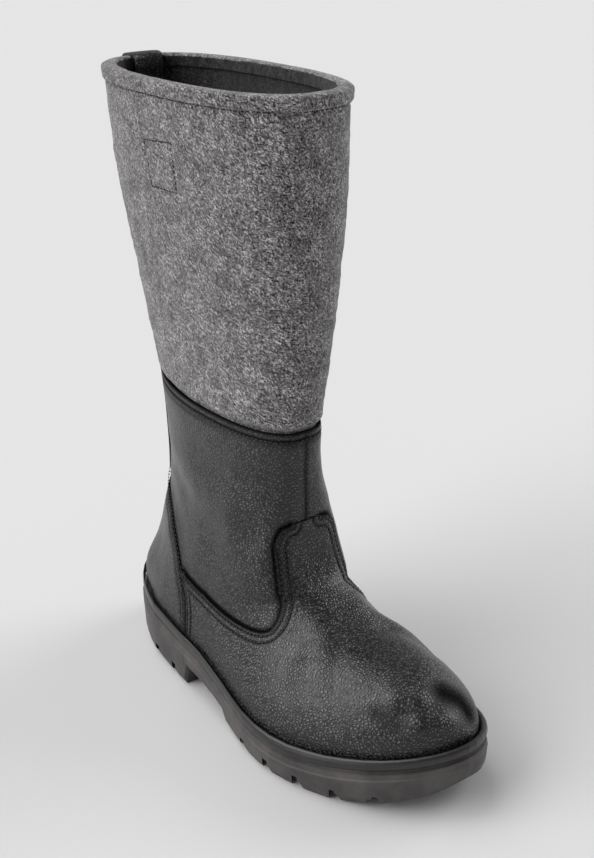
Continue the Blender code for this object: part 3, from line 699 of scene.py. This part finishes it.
def makeMoulded(name, look, strength=0.25):
    made, tree, shader = newMaterial(name)
    place = addNode(tree, "ShaderNodeTexCoord").outputs["Object"]
    cloud = noiseNode(tree, place, 45.0, 5.0, Roughness=0.6)[0]
    grit = noiseNode(tree, place, 1000 / look["texture"], 2.0)[0]
    share = mapRange(tree, cloud, 0.35, 0.65)
    tone = mixColours(tree, share, linear(look["deep"]), linear(look["bloom"]))
    tree.links.new(tone, shader.inputs["Base Color"])
    bumpSurface(tree, shader, grit, 0.0003, strength)
    shader.inputs["Roughness"].default_value = look["roughness"]
    return made


feltCloth = makeFelt("heatheredWoolFelt", feltLook)
liningFelt = makeFelt("shadedLiningFelt", feltLook, 0.1)
pebbledLeather = makeLeather("milledBlackCowhide", leatherLook)
stripLeather = makeLeather("smoothBlackCowhide", leatherLook, 0.6)
soleRubber = makeMoulded("mouldedSoleRubber", rubberLook)
weltRubber = makeMoulded("polishedWeltRubber", weltLook, 0.15)
insoleFelt = makeMoulded("darkInsoleFelt", insoleLook, 0.8)
blackThread = makeMoulded("waxedBlackThread", threadLook, 0.3)
feltThread = makeMoulded("mattBlackThread", feltThreadLook, 0.3)
print("materials made")


# Quarters and lasted foot: one wall of leather with the soft creases of a worn-in boot
quarters = {"legRows": 96, "footRows": 120, "around": 212}
stitches = {"pitch": 3.0, "length": 2.1, "width": 0.7, "height": 0.45, "sunk": 0.3}
frontSeam = {"fromRow": 4.0, "toRow": 6.1, "depth": 0.6, "width": 0.9, "stitchesAt": (2.3,)}
topEdge = {
    "stitchesAt": (4.5, 7.5),
    "stitchDepth": 0.45,
    "stitchWidth": 0.9,
    "foldWidth": 2.0,
    "foldDepth": 0.5,
    # how wide the painted shade under the top edge's fold is
    "paintedShadeWidth": 1.6,
}
# Where leather lies on leather: the dip at a seam, in its sewn rows, and under an overlay's edge, and
# the painted shade along them
seamDip = {"width": 1.4, "paintedShadeWidth": 1.15}
sewnDip = {"depth": 0.5, "width": 0.9, "dark": 0.85, "paintedShadeWidth": 0.75}
underEdge = {"depth": 0.7, "width": 1.6}
sewnRows = {"vamp": (2.6, 6.4), "counter": (2.4, 5.4)}  # from the seam
seamLineRows = np.linspace(frontSeam["fromRow"], frontSeam["toRow"], 30)
frontSeamLine = surfaceAt(seamLineRows, np.full(30, 1.0))


def seamOnLast(edge, heelX, weltZ):
    # Rows and turns of the part of a seam in front of heelX and above weltZ
    kept = edge[(edge[:, 0] > heelX) & (edge[:, 1] > weltZ)]
    return findOnLast(kept[:, 0], kept[:, 1])


def surfaceLines(edge):
    # A seam's lines on the last, outer side and inner side
    row, turn = seamOnLast(edge, 2, 30)
    return [surfaceAt(row, turn), surfaceAt(row, 2 - turn)]


tongueInSight = vampEdge[(vampEdge[:, 0] < 156.0) | (vampEdge[:, 1] < 119.0)]
vampLines = surfaceLines(tongueInSight)
counterLines = surfaceLines(counterEdge)


def leatherSkin(name, rows, turns, offset, seams=(), sewnAt=(), dip=0.0, outline=None):
    # A skin over the last. Near its seams it dips, and again in rows where it is sewn down. Painted
    # shade darkens it there and in its dents.
    rows = np.broadcast_to(rows[:, None], turns.shape)
    if outline is not None:
        rows, turns, signed = trimToOutline(rows, turns, outline, seams)
    flatRow, flatTurn = rows.ravel(), turns.ravel()
    height = leatherRelief(flatRow, flatTurn) + offset
    places = surfaceAt(flatRow, flatTurn)
    if seams:
        gap = np.full(len(places), 1e9)
        for line in seams:
            gap = np.minimum(gap, lineDistance(places, line))
        height -= dip * bell(gap, seamDip["width"])
        # dark is painted shade along the seams and in the sewn rows
        dark = bell(gap, seamDip["paintedShadeWidth"])
        for sewn in sewnAt:
            height -= sewnDip["depth"] * bell(gap - sewn, sewnDip["width"])
            dark = np.maximum(dark, sewnDip["dark"] * bell(gap - sewn, sewnDip["paintedShadeWidth"]))
    else:
        gap = lineDistance(places, frontSeamLine)
        below = closedSections[jointRow, 1] - places[:, 2]
        height -= frontSeam["depth"] * bell(gap, frontSeam["width"])
        height -= topEdge["foldDepth"] * bell(below, topEdge["foldWidth"])
        # Painted shade along the front seam, under the top edge's fold, under the overlays' edges and
        # in the sewn rows
        dark = np.maximum(bell(gap, frontSeam["width"]), bell(below, topEdge["paintedShadeWidth"]))
        for line in vampLines + counterLines:
            covered = bell(lineDistance(places, line), underEdge["width"])
            height -= underEdge["depth"] * covered
            dark = np.maximum(dark, covered)
        for sewn in topEdge["stitchesAt"]:
            stitched = bell(below - sewn, topEdge["stitchWidth"])
            height -= topEdge["stitchDepth"] * stitched
            dark = np.maximum(dark, sewnDip["dark"] * stitched)
    # Painted shade in the toe's dents and down the quarter's front
    for fold in placedFolds:
        folded = bell(lineDistance(places, np.array(fold["line"], float)), fold["width"])
        dark = np.maximum(dark, fold["dark"] * folded)
    laid = offsetAt(flatRow, flatTurn, height).reshape(*rows.shape, 3)
    piece, row, column = mappedGrid(name, laid)
    # The painted shade is kept on the corners for the leather's material
    shade = piece.data.attributes.new("paintedCreaseShade", "FLOAT", "POINT")
    shade.data.foreach_set("value", dark.reshape(rows.shape)[row, column])
    if outline is not None:
        dropOutside(piece, row, column, signed)
    closeSeams(piece)
    return piece


def rowsToToe(first, count):
    # Rows from the first to the seat, and from there to the toe
    legPart = np.linspace(first, seatRow, count["legRows"])
    return np.r_[legPart, np.linspace(seatRow, toeRow, count["footRows"])[1:]]


upperRows = rowsToToe(4, quarters)
upperTurns = evenTurns(upperRows, quarters["around"])
upper = leatherSkin("quarterLeather", upperRows, upperTurns, 0.0)
thicken(upper, boot["leather"])
finishPiece(upper, pebbledLeather)
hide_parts("upper")
print("quarters made")

# Vamp and heel counter: a second layer of leather, cut to its seams
overlays = {"legRows": 70, "footRows": 210, "around": 260, "dip": 0.55, "butt": 0.7}
layerTop = boot["gap"] + boot["overlay"]
overlayRows = rowsToToe(6, overlays)
overlayTurns = evenTurns(overlayRows, overlays["around"])

seamBelow = counterEdge[counterEdge[:, 0] > 74.0] + [overlays["butt"], 0]
seamEnd = vampEdge[vampEdge[:, 0] > 80.0]
vampOutline = np.vstack([seamEnd, seamBelow, [(300.0, 10.0), (300.0, 124.0)]])
vamp = leatherSkin(
    "vampLeather",
    overlayRows,
    overlayTurns,
    layerTop,
    vampLines + counterLines,
    sewnRows["vamp"],
    overlays["dip"],
    vampOutline,
)
thicken(vamp, boot["overlay"])
finishPiece(vamp, pebbledLeather)
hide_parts("vamp")
print("vamp made")

counterRows = overlayRows[overlayRows < 18.5]
counter = leatherSkin(
    "counterLeather",
    counterRows,
    overlayTurns[: len(counterRows)],
    layerTop,
    counterLines,
    sewnRows["counter"],
    overlays["dip"],
    np.vstack([counterEdge, [(-20.0, 10.0)]]),
)
thicken(counter, boot["overlay"])
finishPiece(counter, pebbledLeather)
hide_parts("counter")
print("counter made")

# Felt shaft: a soft tube, a little uneven, that sinks in behind the leather's top edge
shaft = {
    "outerRows": 150,
    "innerRows": 36,
    "around": 250,
    "lumps": ((16, 0.55), (4.5, 0.35), (2.2, 0.2)),  # width and height of each layer
}
patch = {
    "corners": [(65.0, 329.0), (93.0, 331.0), (94.0, 304.0), (69.0, 304.0)],
    "groove": 0.8,
    "width": 1.5,
}


def bandPiece(name, profile, around, relief):
    # A ring round the leg. profile lists row, offset and lift round the wall's cross-section.
    profile = np.array(list(profile) + [profile[0]])
    turns = evenTurns(profile[:, 0], around)
    turns[:, -1] = 0.0
    row = np.broadcast_to(profile[:, :1], turns.shape).ravel()
    offset = np.broadcast_to(profile[:, 1:2], turns.shape).ravel()
    turn = turns.ravel()
    places = offsetAt(row, turn, offset + relief(row, turn, offset)).reshape(*turns.shape, 3)
    places[..., 2] += profile[:, 2:3]
    piece, _, _ = mappedGrid(name, places)
    closeSeams(piece)
    return piece


collar = {
    "thickness": 1.3,
    "drop": 5.2,
    "around": 420,
    "sectionLength": 50.5,  # from one row of the last to the next, down the leg
    "seamBelow": 0.9,
    "seamDepth": 1.1,
    "seamWidth": 0.9,
}
low = collar["drop"] / collar["sectionLength"]
patchLine = roundedLine(patch["corners"] + patch["corners"][:1], 1)
patchRing = []
for k in range(4):
    for share in np.linspace(0, 1, 8, endpoint=False):
        corner, following = patchLine[k], patchLine[k + 1]
        patchRing.append(corner + share * (following - corner))
patchRing.append(patchRing[0])
patchRing = np.array(patchRing)
ringRow, ringTurn = findOnLast(patchRing[:, 0], patchRing[:, 1])
patchOutline = surfaceAt(ringRow, ringTurn)


def feltRelief(row, turn, offset):
    places = surfaceAt(row, turn)
    height = np.zeros(len(places))
    for width, size in shaft["lumps"]:
        addLumps(height, places, width, size)
    outer = offset > -1
    height *= np.where(outer, 1.0, -1.0)
    gap = lineDistance(places, patchOutline)
    height -= np.where(outer & (turn < 1), patch["groove"] * bell(gap, patch["width"]), 0)
    underCollar = (row - low) * collar["sectionLength"] - collar["seamBelow"]
    height -= np.where(outer, collar["seamDepth"] * bell(underCollar, collar["seamWidth"]), 0)
    return height


legAxis = (82.0, 5.0)  # in the plan, up the middle of the leg


def lineFacesInside(piece, top):
    # The felt inside the leg is in shade and much darker
    piece.data.materials.append(liningFelt)
    for face in piece.data.polygons:
        legMiddle = Vector(toFrame((*legAxis, face.center.z * 1000)))
        if face.normal.dot((face.center - legMiddle).normalized()) < -0.3 and face.center.z < top:
            face.material_index = 1


outerRows = np.linspace(0, 3.99, shaft["outerRows"])
tuckDepth = -(boot["leather"] + boot["gap"] + 0.5)
shaftProfile = []
for row in outerRows:
    shaftProfile.append((row, tuckDepth * float(ease((row - 3.86) / 0.13)) + 0.4, 0.0))
shaftProfile += [(row, tuckDepth, 0.0) for row in (4.1, 4.25, 4.38)]
shaftProfile += [(4.4, tuckDepth - 0.8, 0.0), (4.4, tuckDepth - 1.9, 0.0)]
shaftProfile += [(row, -boot["felt"], 0.0) for row in np.linspace(4.3, 0, shaft["innerRows"])]
feltTube = bandPiece("feltShaft", shaftProfile, shaft["around"], feltRelief)
finishPiece(feltTube, feltCloth, 80)
lineFacesInside(feltTube, 0.36)
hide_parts("shaft")
print("shaft made")


# Felt strip rolled over the collar
def collarRelief(row, turn, offset):
    places = surfaceAt(row, turn)
    height = np.zeros(len(places))
    addLumps(height, places, 6, 0.45, offset / 4)
    addLumps(height, places, 2.2, 0.4, offset / 3)
    return height * np.where(offset > -boot["felt"] / 2, 1.0, -1.0)


def rolledOver(outer, inner, rise, squareness, count):
    # The path over the felt's edge, from an outer offset to an inner one
    path = []
    for angle in np.linspace(0, math.pi, count)[1:-1]:
        reach = math.copysign(abs(math.cos(angle)) ** squareness, math.cos(angle))
        across = (outer + inner) / 2 + (outer - inner) / 2 * reach
        path.append((0.0, across, rise * math.sin(angle) ** squareness))
    return path


farOut = boot["gap"] + collar["thickness"] + 0.5
farIn = -(boot["felt"] + boot["gap"] + collar["thickness"])
collarProfile = [(low, boot["gap"] + 0.2, 0.0), (low, farOut - 0.7, 0.0)]
collarProfile.append((low * 0.9, farOut - 0.1, 0.0))
collarProfile += [(low * share, farOut, 0.0) for share in (0.75, 0.5, 0.25, 0.0)]
collarProfile += rolledOver(farOut, farIn, 2.6, 0.75, 12)
collarProfile += [(low * share, farIn, 0.0) for share in (0.0, 0.25, 0.5, 0.75)]
collarProfile.append((low * 0.9, farIn + 0.1, 0.0))
collarProfile += [(low, farIn + 0.7, 0.0), (low, -boot["felt"] - 0.3, 0.0)]
collarProfile += [(0.02, -boot["felt"] - 0.2, 0.2), (0.0, -boot["felt"] - 0.1, 0.4), (0.0, 0.4, 0.4)]
collarStrip = bandPiece("collarStrip", collarProfile[::-1], collar["around"], collarRelief)
finishPiece(collarStrip, feltCloth, 80)
lineFacesInside(collarStrip, 0.3615)
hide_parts("collar_binding")
print("collar made")

# Leather strip over the back seam and over the collar
backStrip = {
    "topWidth": 19.0,
    "jointWidth": 16.0,
    "footWidth": 13.0,
    "thickness": 1.2,
    "inside": 34.0,
    "lean": 4.0,  # to the inner side, at the top
    "leanFromRow": 1.6,
    "crown": 0.35,
    "columns": 15,
}
stripHalf = smoothCurve(
    [0, 4, 7], [backStrip["topWidth"] / 2, backStrip["jointWidth"] / 2, backStrip["footWidth"] / 2]
)
stripOver = farOut + 0.25 + backStrip["thickness"]
stripIn = farIn - 0.45 - backStrip["thickness"]
stripPath = [(row, boot["gap"] + backStrip["thickness"], 0.0) for row in np.linspace(6.9, 0.3, 90)]
stripPath += [(low + 0.08, stripOver - 1.6, 0.0), (low + 0.03, stripOver - 0.5, 0.0)]
stripPath.append((low, stripOver, 0.0))
stripPath += [(low * share, stripOver, 0.0) for share in (0.66, 0.33, 0.0)]
stripPath += rolledOver(stripOver, stripIn, 2.9, 0.7, 14)
stripPath += [(low * share, stripIn, 0.0) for share in (0.0, 0.5, 1.0)]
stripEnd = backStrip["inside"] / collar["sectionLength"]
stripPath += [(row, stripIn + 0.6, 0.0) for row in np.linspace(low + 0.05, stripEnd, 12)]
stripPath = np.array(stripPath)


def stripPlaces():
    across = np.linspace(-1, 1, backStrip["columns"])
    crown = backStrip["crown"] * (1 - np.abs(across) ** 4) - backStrip["crown"]
    turns = 0.4 * np.linspace(0, 1, 80) ** 1.2  # closer together at the back
    places = np.empty((len(stripPath), len(across), 3))
    for k, (row, offset, lift) in enumerate(stripPath):
        length = runLength(offsetAt(row, turns, offset))
        lean = ease((backStrip["leanFromRow"] - row) / backStrip["leanFromRow"])
        place = across * float(stripHalf(row)) + backStrip["lean"] * float(lean)
        turn = np.interp(np.abs(place), length, turns)
        turn = np.where(place < 0, turn, (2 - turn) % 2)
        places[k] = offsetAt(row, turn, offset + crown)
        places[k, :, 2] += lift
    return places


strip, _, _ = mappedGrid("backStrip", stripPlaces())
editAll(strip, bpy.ops.mesh.flip_normals)
thicken(strip, backStrip["thickness"])
finishPiece(strip, stripLeather)
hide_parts("backstay")
print("backstay made")


# Waxed thread: one stitch modelled and set along every seam
def stitchAlong(row, turn, lift):
    # Middle, direction and outward normal of each stitch along a line on the last
    places = offsetAt(row, turn, lift)
    length = runLength(places)
    at = np.arange(stitches["pitch"] / 2, length[-1], stitches["pitch"])
    middleRow, middleTurn = np.interp(at, length, row), np.interp(at, length, turn)
    ahead = [np.interp(at + stitches["length"] / 2, length, places[:, k]) for k in range(3)]
    behind = [np.interp(at - stitches["length"] / 2, length, places[:, k]) for k in range(3)]
    middle = offsetAt(middleRow, middleTurn, np.interp(at, length, lift))
    return middle, np.stack(ahead, 1) - np.stack(behind, 1), outwardAt(middleRow, middleTurn)


def besideSeam(row, turn, seamPlaces, distance):
    # The line on the last that runs at a distance beside a seam
    here = surfaceAt(row, turn)
    along = np.gradient(here, axis=0)
    along /= np.maximum(np.linalg.norm(along, axis=1, keepdims=True), 1e-9)
    target = here + distance * np.cross(outwardAt(row, turn), along)
    row, turn = row.copy(), turn.copy()
    for _ in range(6):
        here = surfaceAt(row, turn)
        byRow = (surfaceAt(row + 0.01, turn) - here) / 0.01
        byTurn = (surfaceAt(row, turn + 0.001) - here) / 0.001
        miss = target - here
        rr, tt, rt = (byRow * byRow).sum(1), (byTurn * byTurn).sum(1), (byRow * byTurn).sum(1)
        mr, mt = (miss * byRow).sum(1), (miss * byTurn).sum(1)
        size = np.maximum(rr * tt - rt * rt, 1e-6)
        row = np.clip(row + np.clip((mr * tt - mt * rt) / size, -0.3, 0.3), 0, toeRow - 0.1)
        turn = turn + np.clip((mt * rr - mr * rt) / size, -0.03, 0.03)
    kept = (lineDistance(surfaceAt(row, turn), seamPlaces) > abs(distance) * 0.93) & (turn < 1.02)
    return row[kept], turn[kept]


def addStitches(name, groups, material):
    # One capsule, set out along the groups of middles, directions and normals
    bpy.ops.mesh.primitive_uv_sphere_add(segments=8, ring_count=5, radius=0.5, location=(0, 0, 0))
    capsule = bpy.context.object
    corners = np.array([v.co[:] for v in capsule.data.vertices])
    faces = [list(p.vertices) for p in capsule.data.polygons]
    bpy.data.objects.remove(capsule)
    corners = np.sign(corners) * np.abs(corners * 2) ** 0.8 / 2  # fuller than a ball
    vertices, polygons = [], []
    for middles, directions, normals in groups:
        for middle, direction, normal in zip(middles, directions, normals):
            along = direction / max(np.linalg.norm(direction), 1e-9)
            across = np.cross(normal, along)
            up = np.cross(along, across)
            size = (stitches["length"], stitches["width"], stitches["height"])
            axes = np.stack([along * size[0], across * size[1], up * size[2]])
            start = len(vertices) * len(corners)
            vertices.append(middle + corners @ axes)
            polygons += [[v + start for v in face] for face in faces]
    mesh = bpy.data.meshes.new(name)
    mesh.from_pydata(toFrame(np.vstack(vertices)).tolist(), [], polygons)
    piece = bpy.data.objects.new(name, mesh)
    bpy.context.scene.collection.objects.link(piece)
    return finishPiece(piece, material, 60)


def bothSides(row, turn):
    return ((row, turn), (row, 2 - turn))


threadGroups = []
threadLift = stitches["height"] / 2 - stitches["sunk"]
for edge, distances in ((tongueInSight, sewnRows["vamp"]), (counterEdge, sewnRows["counter"])):
    edgeRow, edgeTurn = seamOnLast(edge, 17, 34)
    seam = surfaceAt(edgeRow, edgeTurn)
    fine = np.linspace(0, len(edgeRow) - 1, len(edgeRow) * 3)
    fineRow = np.interp(fine, np.arange(len(edgeRow)), edgeRow)
    fineTurn = np.interp(fine, np.arange(len(edgeRow)), edgeTurn)
    for distance in distances:
        rowLine, turnLine = besideSeam(fineRow, fineTurn, seam, distance)
        for r, t in bothSides(rowLine, turnLine):
            lift = leatherRelief(r, t) + layerTop + threadLift
            threadGroups.append(stitchAlong(r, t, lift))
around = evenTurns(np.array([4.2]), 300)[0]
for down in topEdge["stitchesAt"]:
    r = np.full(300, jointRow + down / (closedSections[jointRow, 1] - closedSections[jointRow + 1, 1]))
    threadGroups.append(stitchAlong(r, around, np.full(300, threadLift)))
for distance in (frontSeam["stitchesAt"][0], -frontSeam["stitchesAt"][0]):
    r, t = besideSeam(seamLineRows[3:], np.full(27, 1.0), frontSeamLine, distance)
    threadGroups.append(stitchAlong(r, t, leatherRelief(r, t) + threadLift))
leatherStitches = addStitches("seamStitches", threadGroups, blackThread)

# The row that holds the vamp and the counter to the welt
hem = {"fromRow": 10.4, "toRow": 26.6, "up": 9.0}  # up the leather from the edge under the welt
hemRows = np.linspace(hem["fromRow"], hem["toRow"], 300)
upTurns = np.linspace(0, 0.5, 200)
hemGroups = []
for mirrored in (False, True):
    hemTurn = np.empty(len(hemRows))
    for k, row in enumerate(hemRows):
        rise = runLength(surfaceAt(row, 2 - upTurns if mirrored else upTurns))
        hemTurn[k] = np.interp(hem["up"], rise, upTurns)
    hemTurn = 2 - hemTurn if mirrored else hemTurn
    lift = leatherRelief(hemRows, hemTurn) + layerTop + threadLift
    hemGroups.append(stitchAlong(hemRows, hemTurn, lift))
hemStitches = addStitches("weltStitches", hemGroups, blackThread)

# The small rectangle sewn into the felt, and the row under the collar's strip
patchLift = np.full(len(ringRow), 0.4 - patch["groove"] + 0.35)
collarRow = np.full(300, low + 1.0 / collar["sectionLength"])
aroundCollar = evenTurns(np.array([low]), 300)[0]
feltGroups = [
    stitchAlong(ringRow, ringTurn, patchLift),
    stitchAlong(collarRow, aroundCollar, np.full(300, -0.35)),
]
feltStitches = addStitches("feltStitches", feltGroups, feltThread)
print("stitches made")

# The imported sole, welt and insole get their materials
for node, material in (("outsole", soleRubber), ("insole", insoleFelt), ("welt", weltRubber)):
    piece = bpy.data.objects[node]
    for materialSlot in piece.material_slots:
        materialSlot.material = material

# The outsole again, with the notches of its outer edge cut deeper: each as a place in the plan
soleNotches = {
    "places": [(53, -39), (78, -43), (167, -53), (190, -54), (212, -50), (235.5, -43), (254, -32)],
    "width": 3.0,
    "depth": 7.5,
    "reach": 20.0,
    "turned": 46.0,  # degrees from straight across the foot
}
notchCutters = []
for x, y in soleNotches["places"]:
    bpy.ops.mesh.primitive_cube_add(
        size=1,
        location=toFrame((x, y, 0.0)),
        rotation=(0, 0, math.radians(soleNotches["turned"])),
        scale=(soleNotches["width"] / 1000, soleNotches["reach"] / 1000, soleNotches["depth"] / 500),
    )
    notchCutters.append(bpy.context.object)
for cutter in notchCutters:
    cutter.select_set(True)
bpy.context.view_layer.objects.active = notchCutters[0]
bpy.ops.object.join()
cutters = bpy.context.object
notchedSole = bpy.data.objects["outsole"].copy()
notchedSole.data = notchedSole.data.copy()
notchedSole.name = "notchedSole"
notchedSole.parent = None
notchedSole.matrix_world = bpy.data.objects["outsole"].matrix_world.copy()
bpy.context.scene.collection.objects.link(notchedSole)
cut = notchedSole.modifiers.new("notches", "BOOLEAN")
cut.object = cutters
cut.operation = "DIFFERENCE"
cut.solver = "EXACT"
applyAll(notchedSole)
bpy.data.objects.remove(cutters)
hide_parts("outsole")
print("sole made")

# Camera at the photograph's angle to the boot, moved in so that the boot fills the frame
camera = {
    "azimuth": 54.01,
    "elevation": 22.58,
    "roll": 1.20,
    "distance": 757.2,
    "target": (130.0, 6.0, 180.0),
    "focalPixels": 695.6,  # in the photograph
    "enlarged": 1.93,
    "bootFromAxis": (7.9, 9.5),  # pixels of the photograph, right and down
    "frameHeight": 858,
    "sensorHeight": 36,
}


def direction(azimuth, elevation):
    # From the boot to a place round it and above it, both angles in radians
    return Vector((
        math.sin(azimuth) * math.cos(elevation),
        -math.cos(azimuth) * math.cos(elevation),
        math.sin(elevation),
    ))


def addCamera(look):
    azimuth, elevation, roll = (math.radians(look[key]) for key in ("azimuth", "elevation", "roll"))
    back = direction(azimuth, elevation)
    right = Vector((math.cos(azimuth), math.sin(azimuth), 0))
    up = back.cross(right)
    rolledRight = math.cos(roll) * right - math.sin(roll) * up
    rolledUp = math.sin(roll) * right + math.cos(roll) * up
    stand = Vector(toFrame(look["target"])) + back * look["distance"] / 1000
    bpy.ops.object.camera_add()
    made = bpy.context.object
    turned = Matrix((rolledRight, rolledUp, back)).transposed().to_4x4()
    made.matrix_world = Matrix.Translation(stand) @ turned
    lens = made.data
    lens.sensor_width = look["sensorHeight"]  # across the frame's longer side
    lens.lens = look["sensorHeight"] * look["focalPixels"] * look["enlarged"] / look["frameHeight"]
    lens.shift_x = look["bootFromAxis"][0] * look["enlarged"] / look["frameHeight"]
    lens.shift_y = -look["bootFromAxis"][1] * look["enlarged"] / look["frameHeight"]
    lens.clip_end = 50
    bpy.context.scene.camera = made


addCamera(camera)

# Studio: pale floor and an even pale world
studio = {"floorGrey": "#d2d2d2", "worldGrey": 0.29}
bpy.ops.mesh.primitive_plane_add(size=16, location=(0, 0, 0))
floor = bpy.context.object
floor.name = "floor"
floorPaper, _, floorShader = newMaterial("paleStudioPaper")
floorShader.inputs["Base Color"].default_value = linear(studio["floorGrey"])
floorShader.inputs["Roughness"].default_value = 0.9
floor.data.materials.append(floorPaper)

# Suns, so that the floor is evenly lit: where each stands as degrees to the left of the camera and
# degrees up, how wide it is and how strong
suns = {
    "leftWindow": (74, 32, 50, 2.05),
    "overhead": (128, 60, 42, 1.4),
    "rightRear": (-116, 24, 44, 1.45),
}
for name, (left, up, width, strength) in suns.items():
    azimuth = math.radians(camera["azimuth"] - left)
    elevation = math.radians(up)
    stand = direction(azimuth, elevation)
    bpy.ops.object.light_add(type="SUN", location=stand * 2)
    sun = bpy.context.object
    sun.name = name
    sun.data.energy = strength
    sun.data.angle = math.radians(width)
    sun.rotation_euler = stand.to_track_quat("Z", "Y").to_euler()

world = bpy.data.worlds.new("studio")
bpy.context.scene.world = world
world.use_nodes = True
world.node_tree.nodes["Background"].inputs[0].default_value = (1, 1, 1, 1)
world.node_tree.nodes["Background"].inputs[1].default_value = studio["worldGrey"]
bpy.context.scene.view_settings.view_transform = "Standard"
print("studio made")
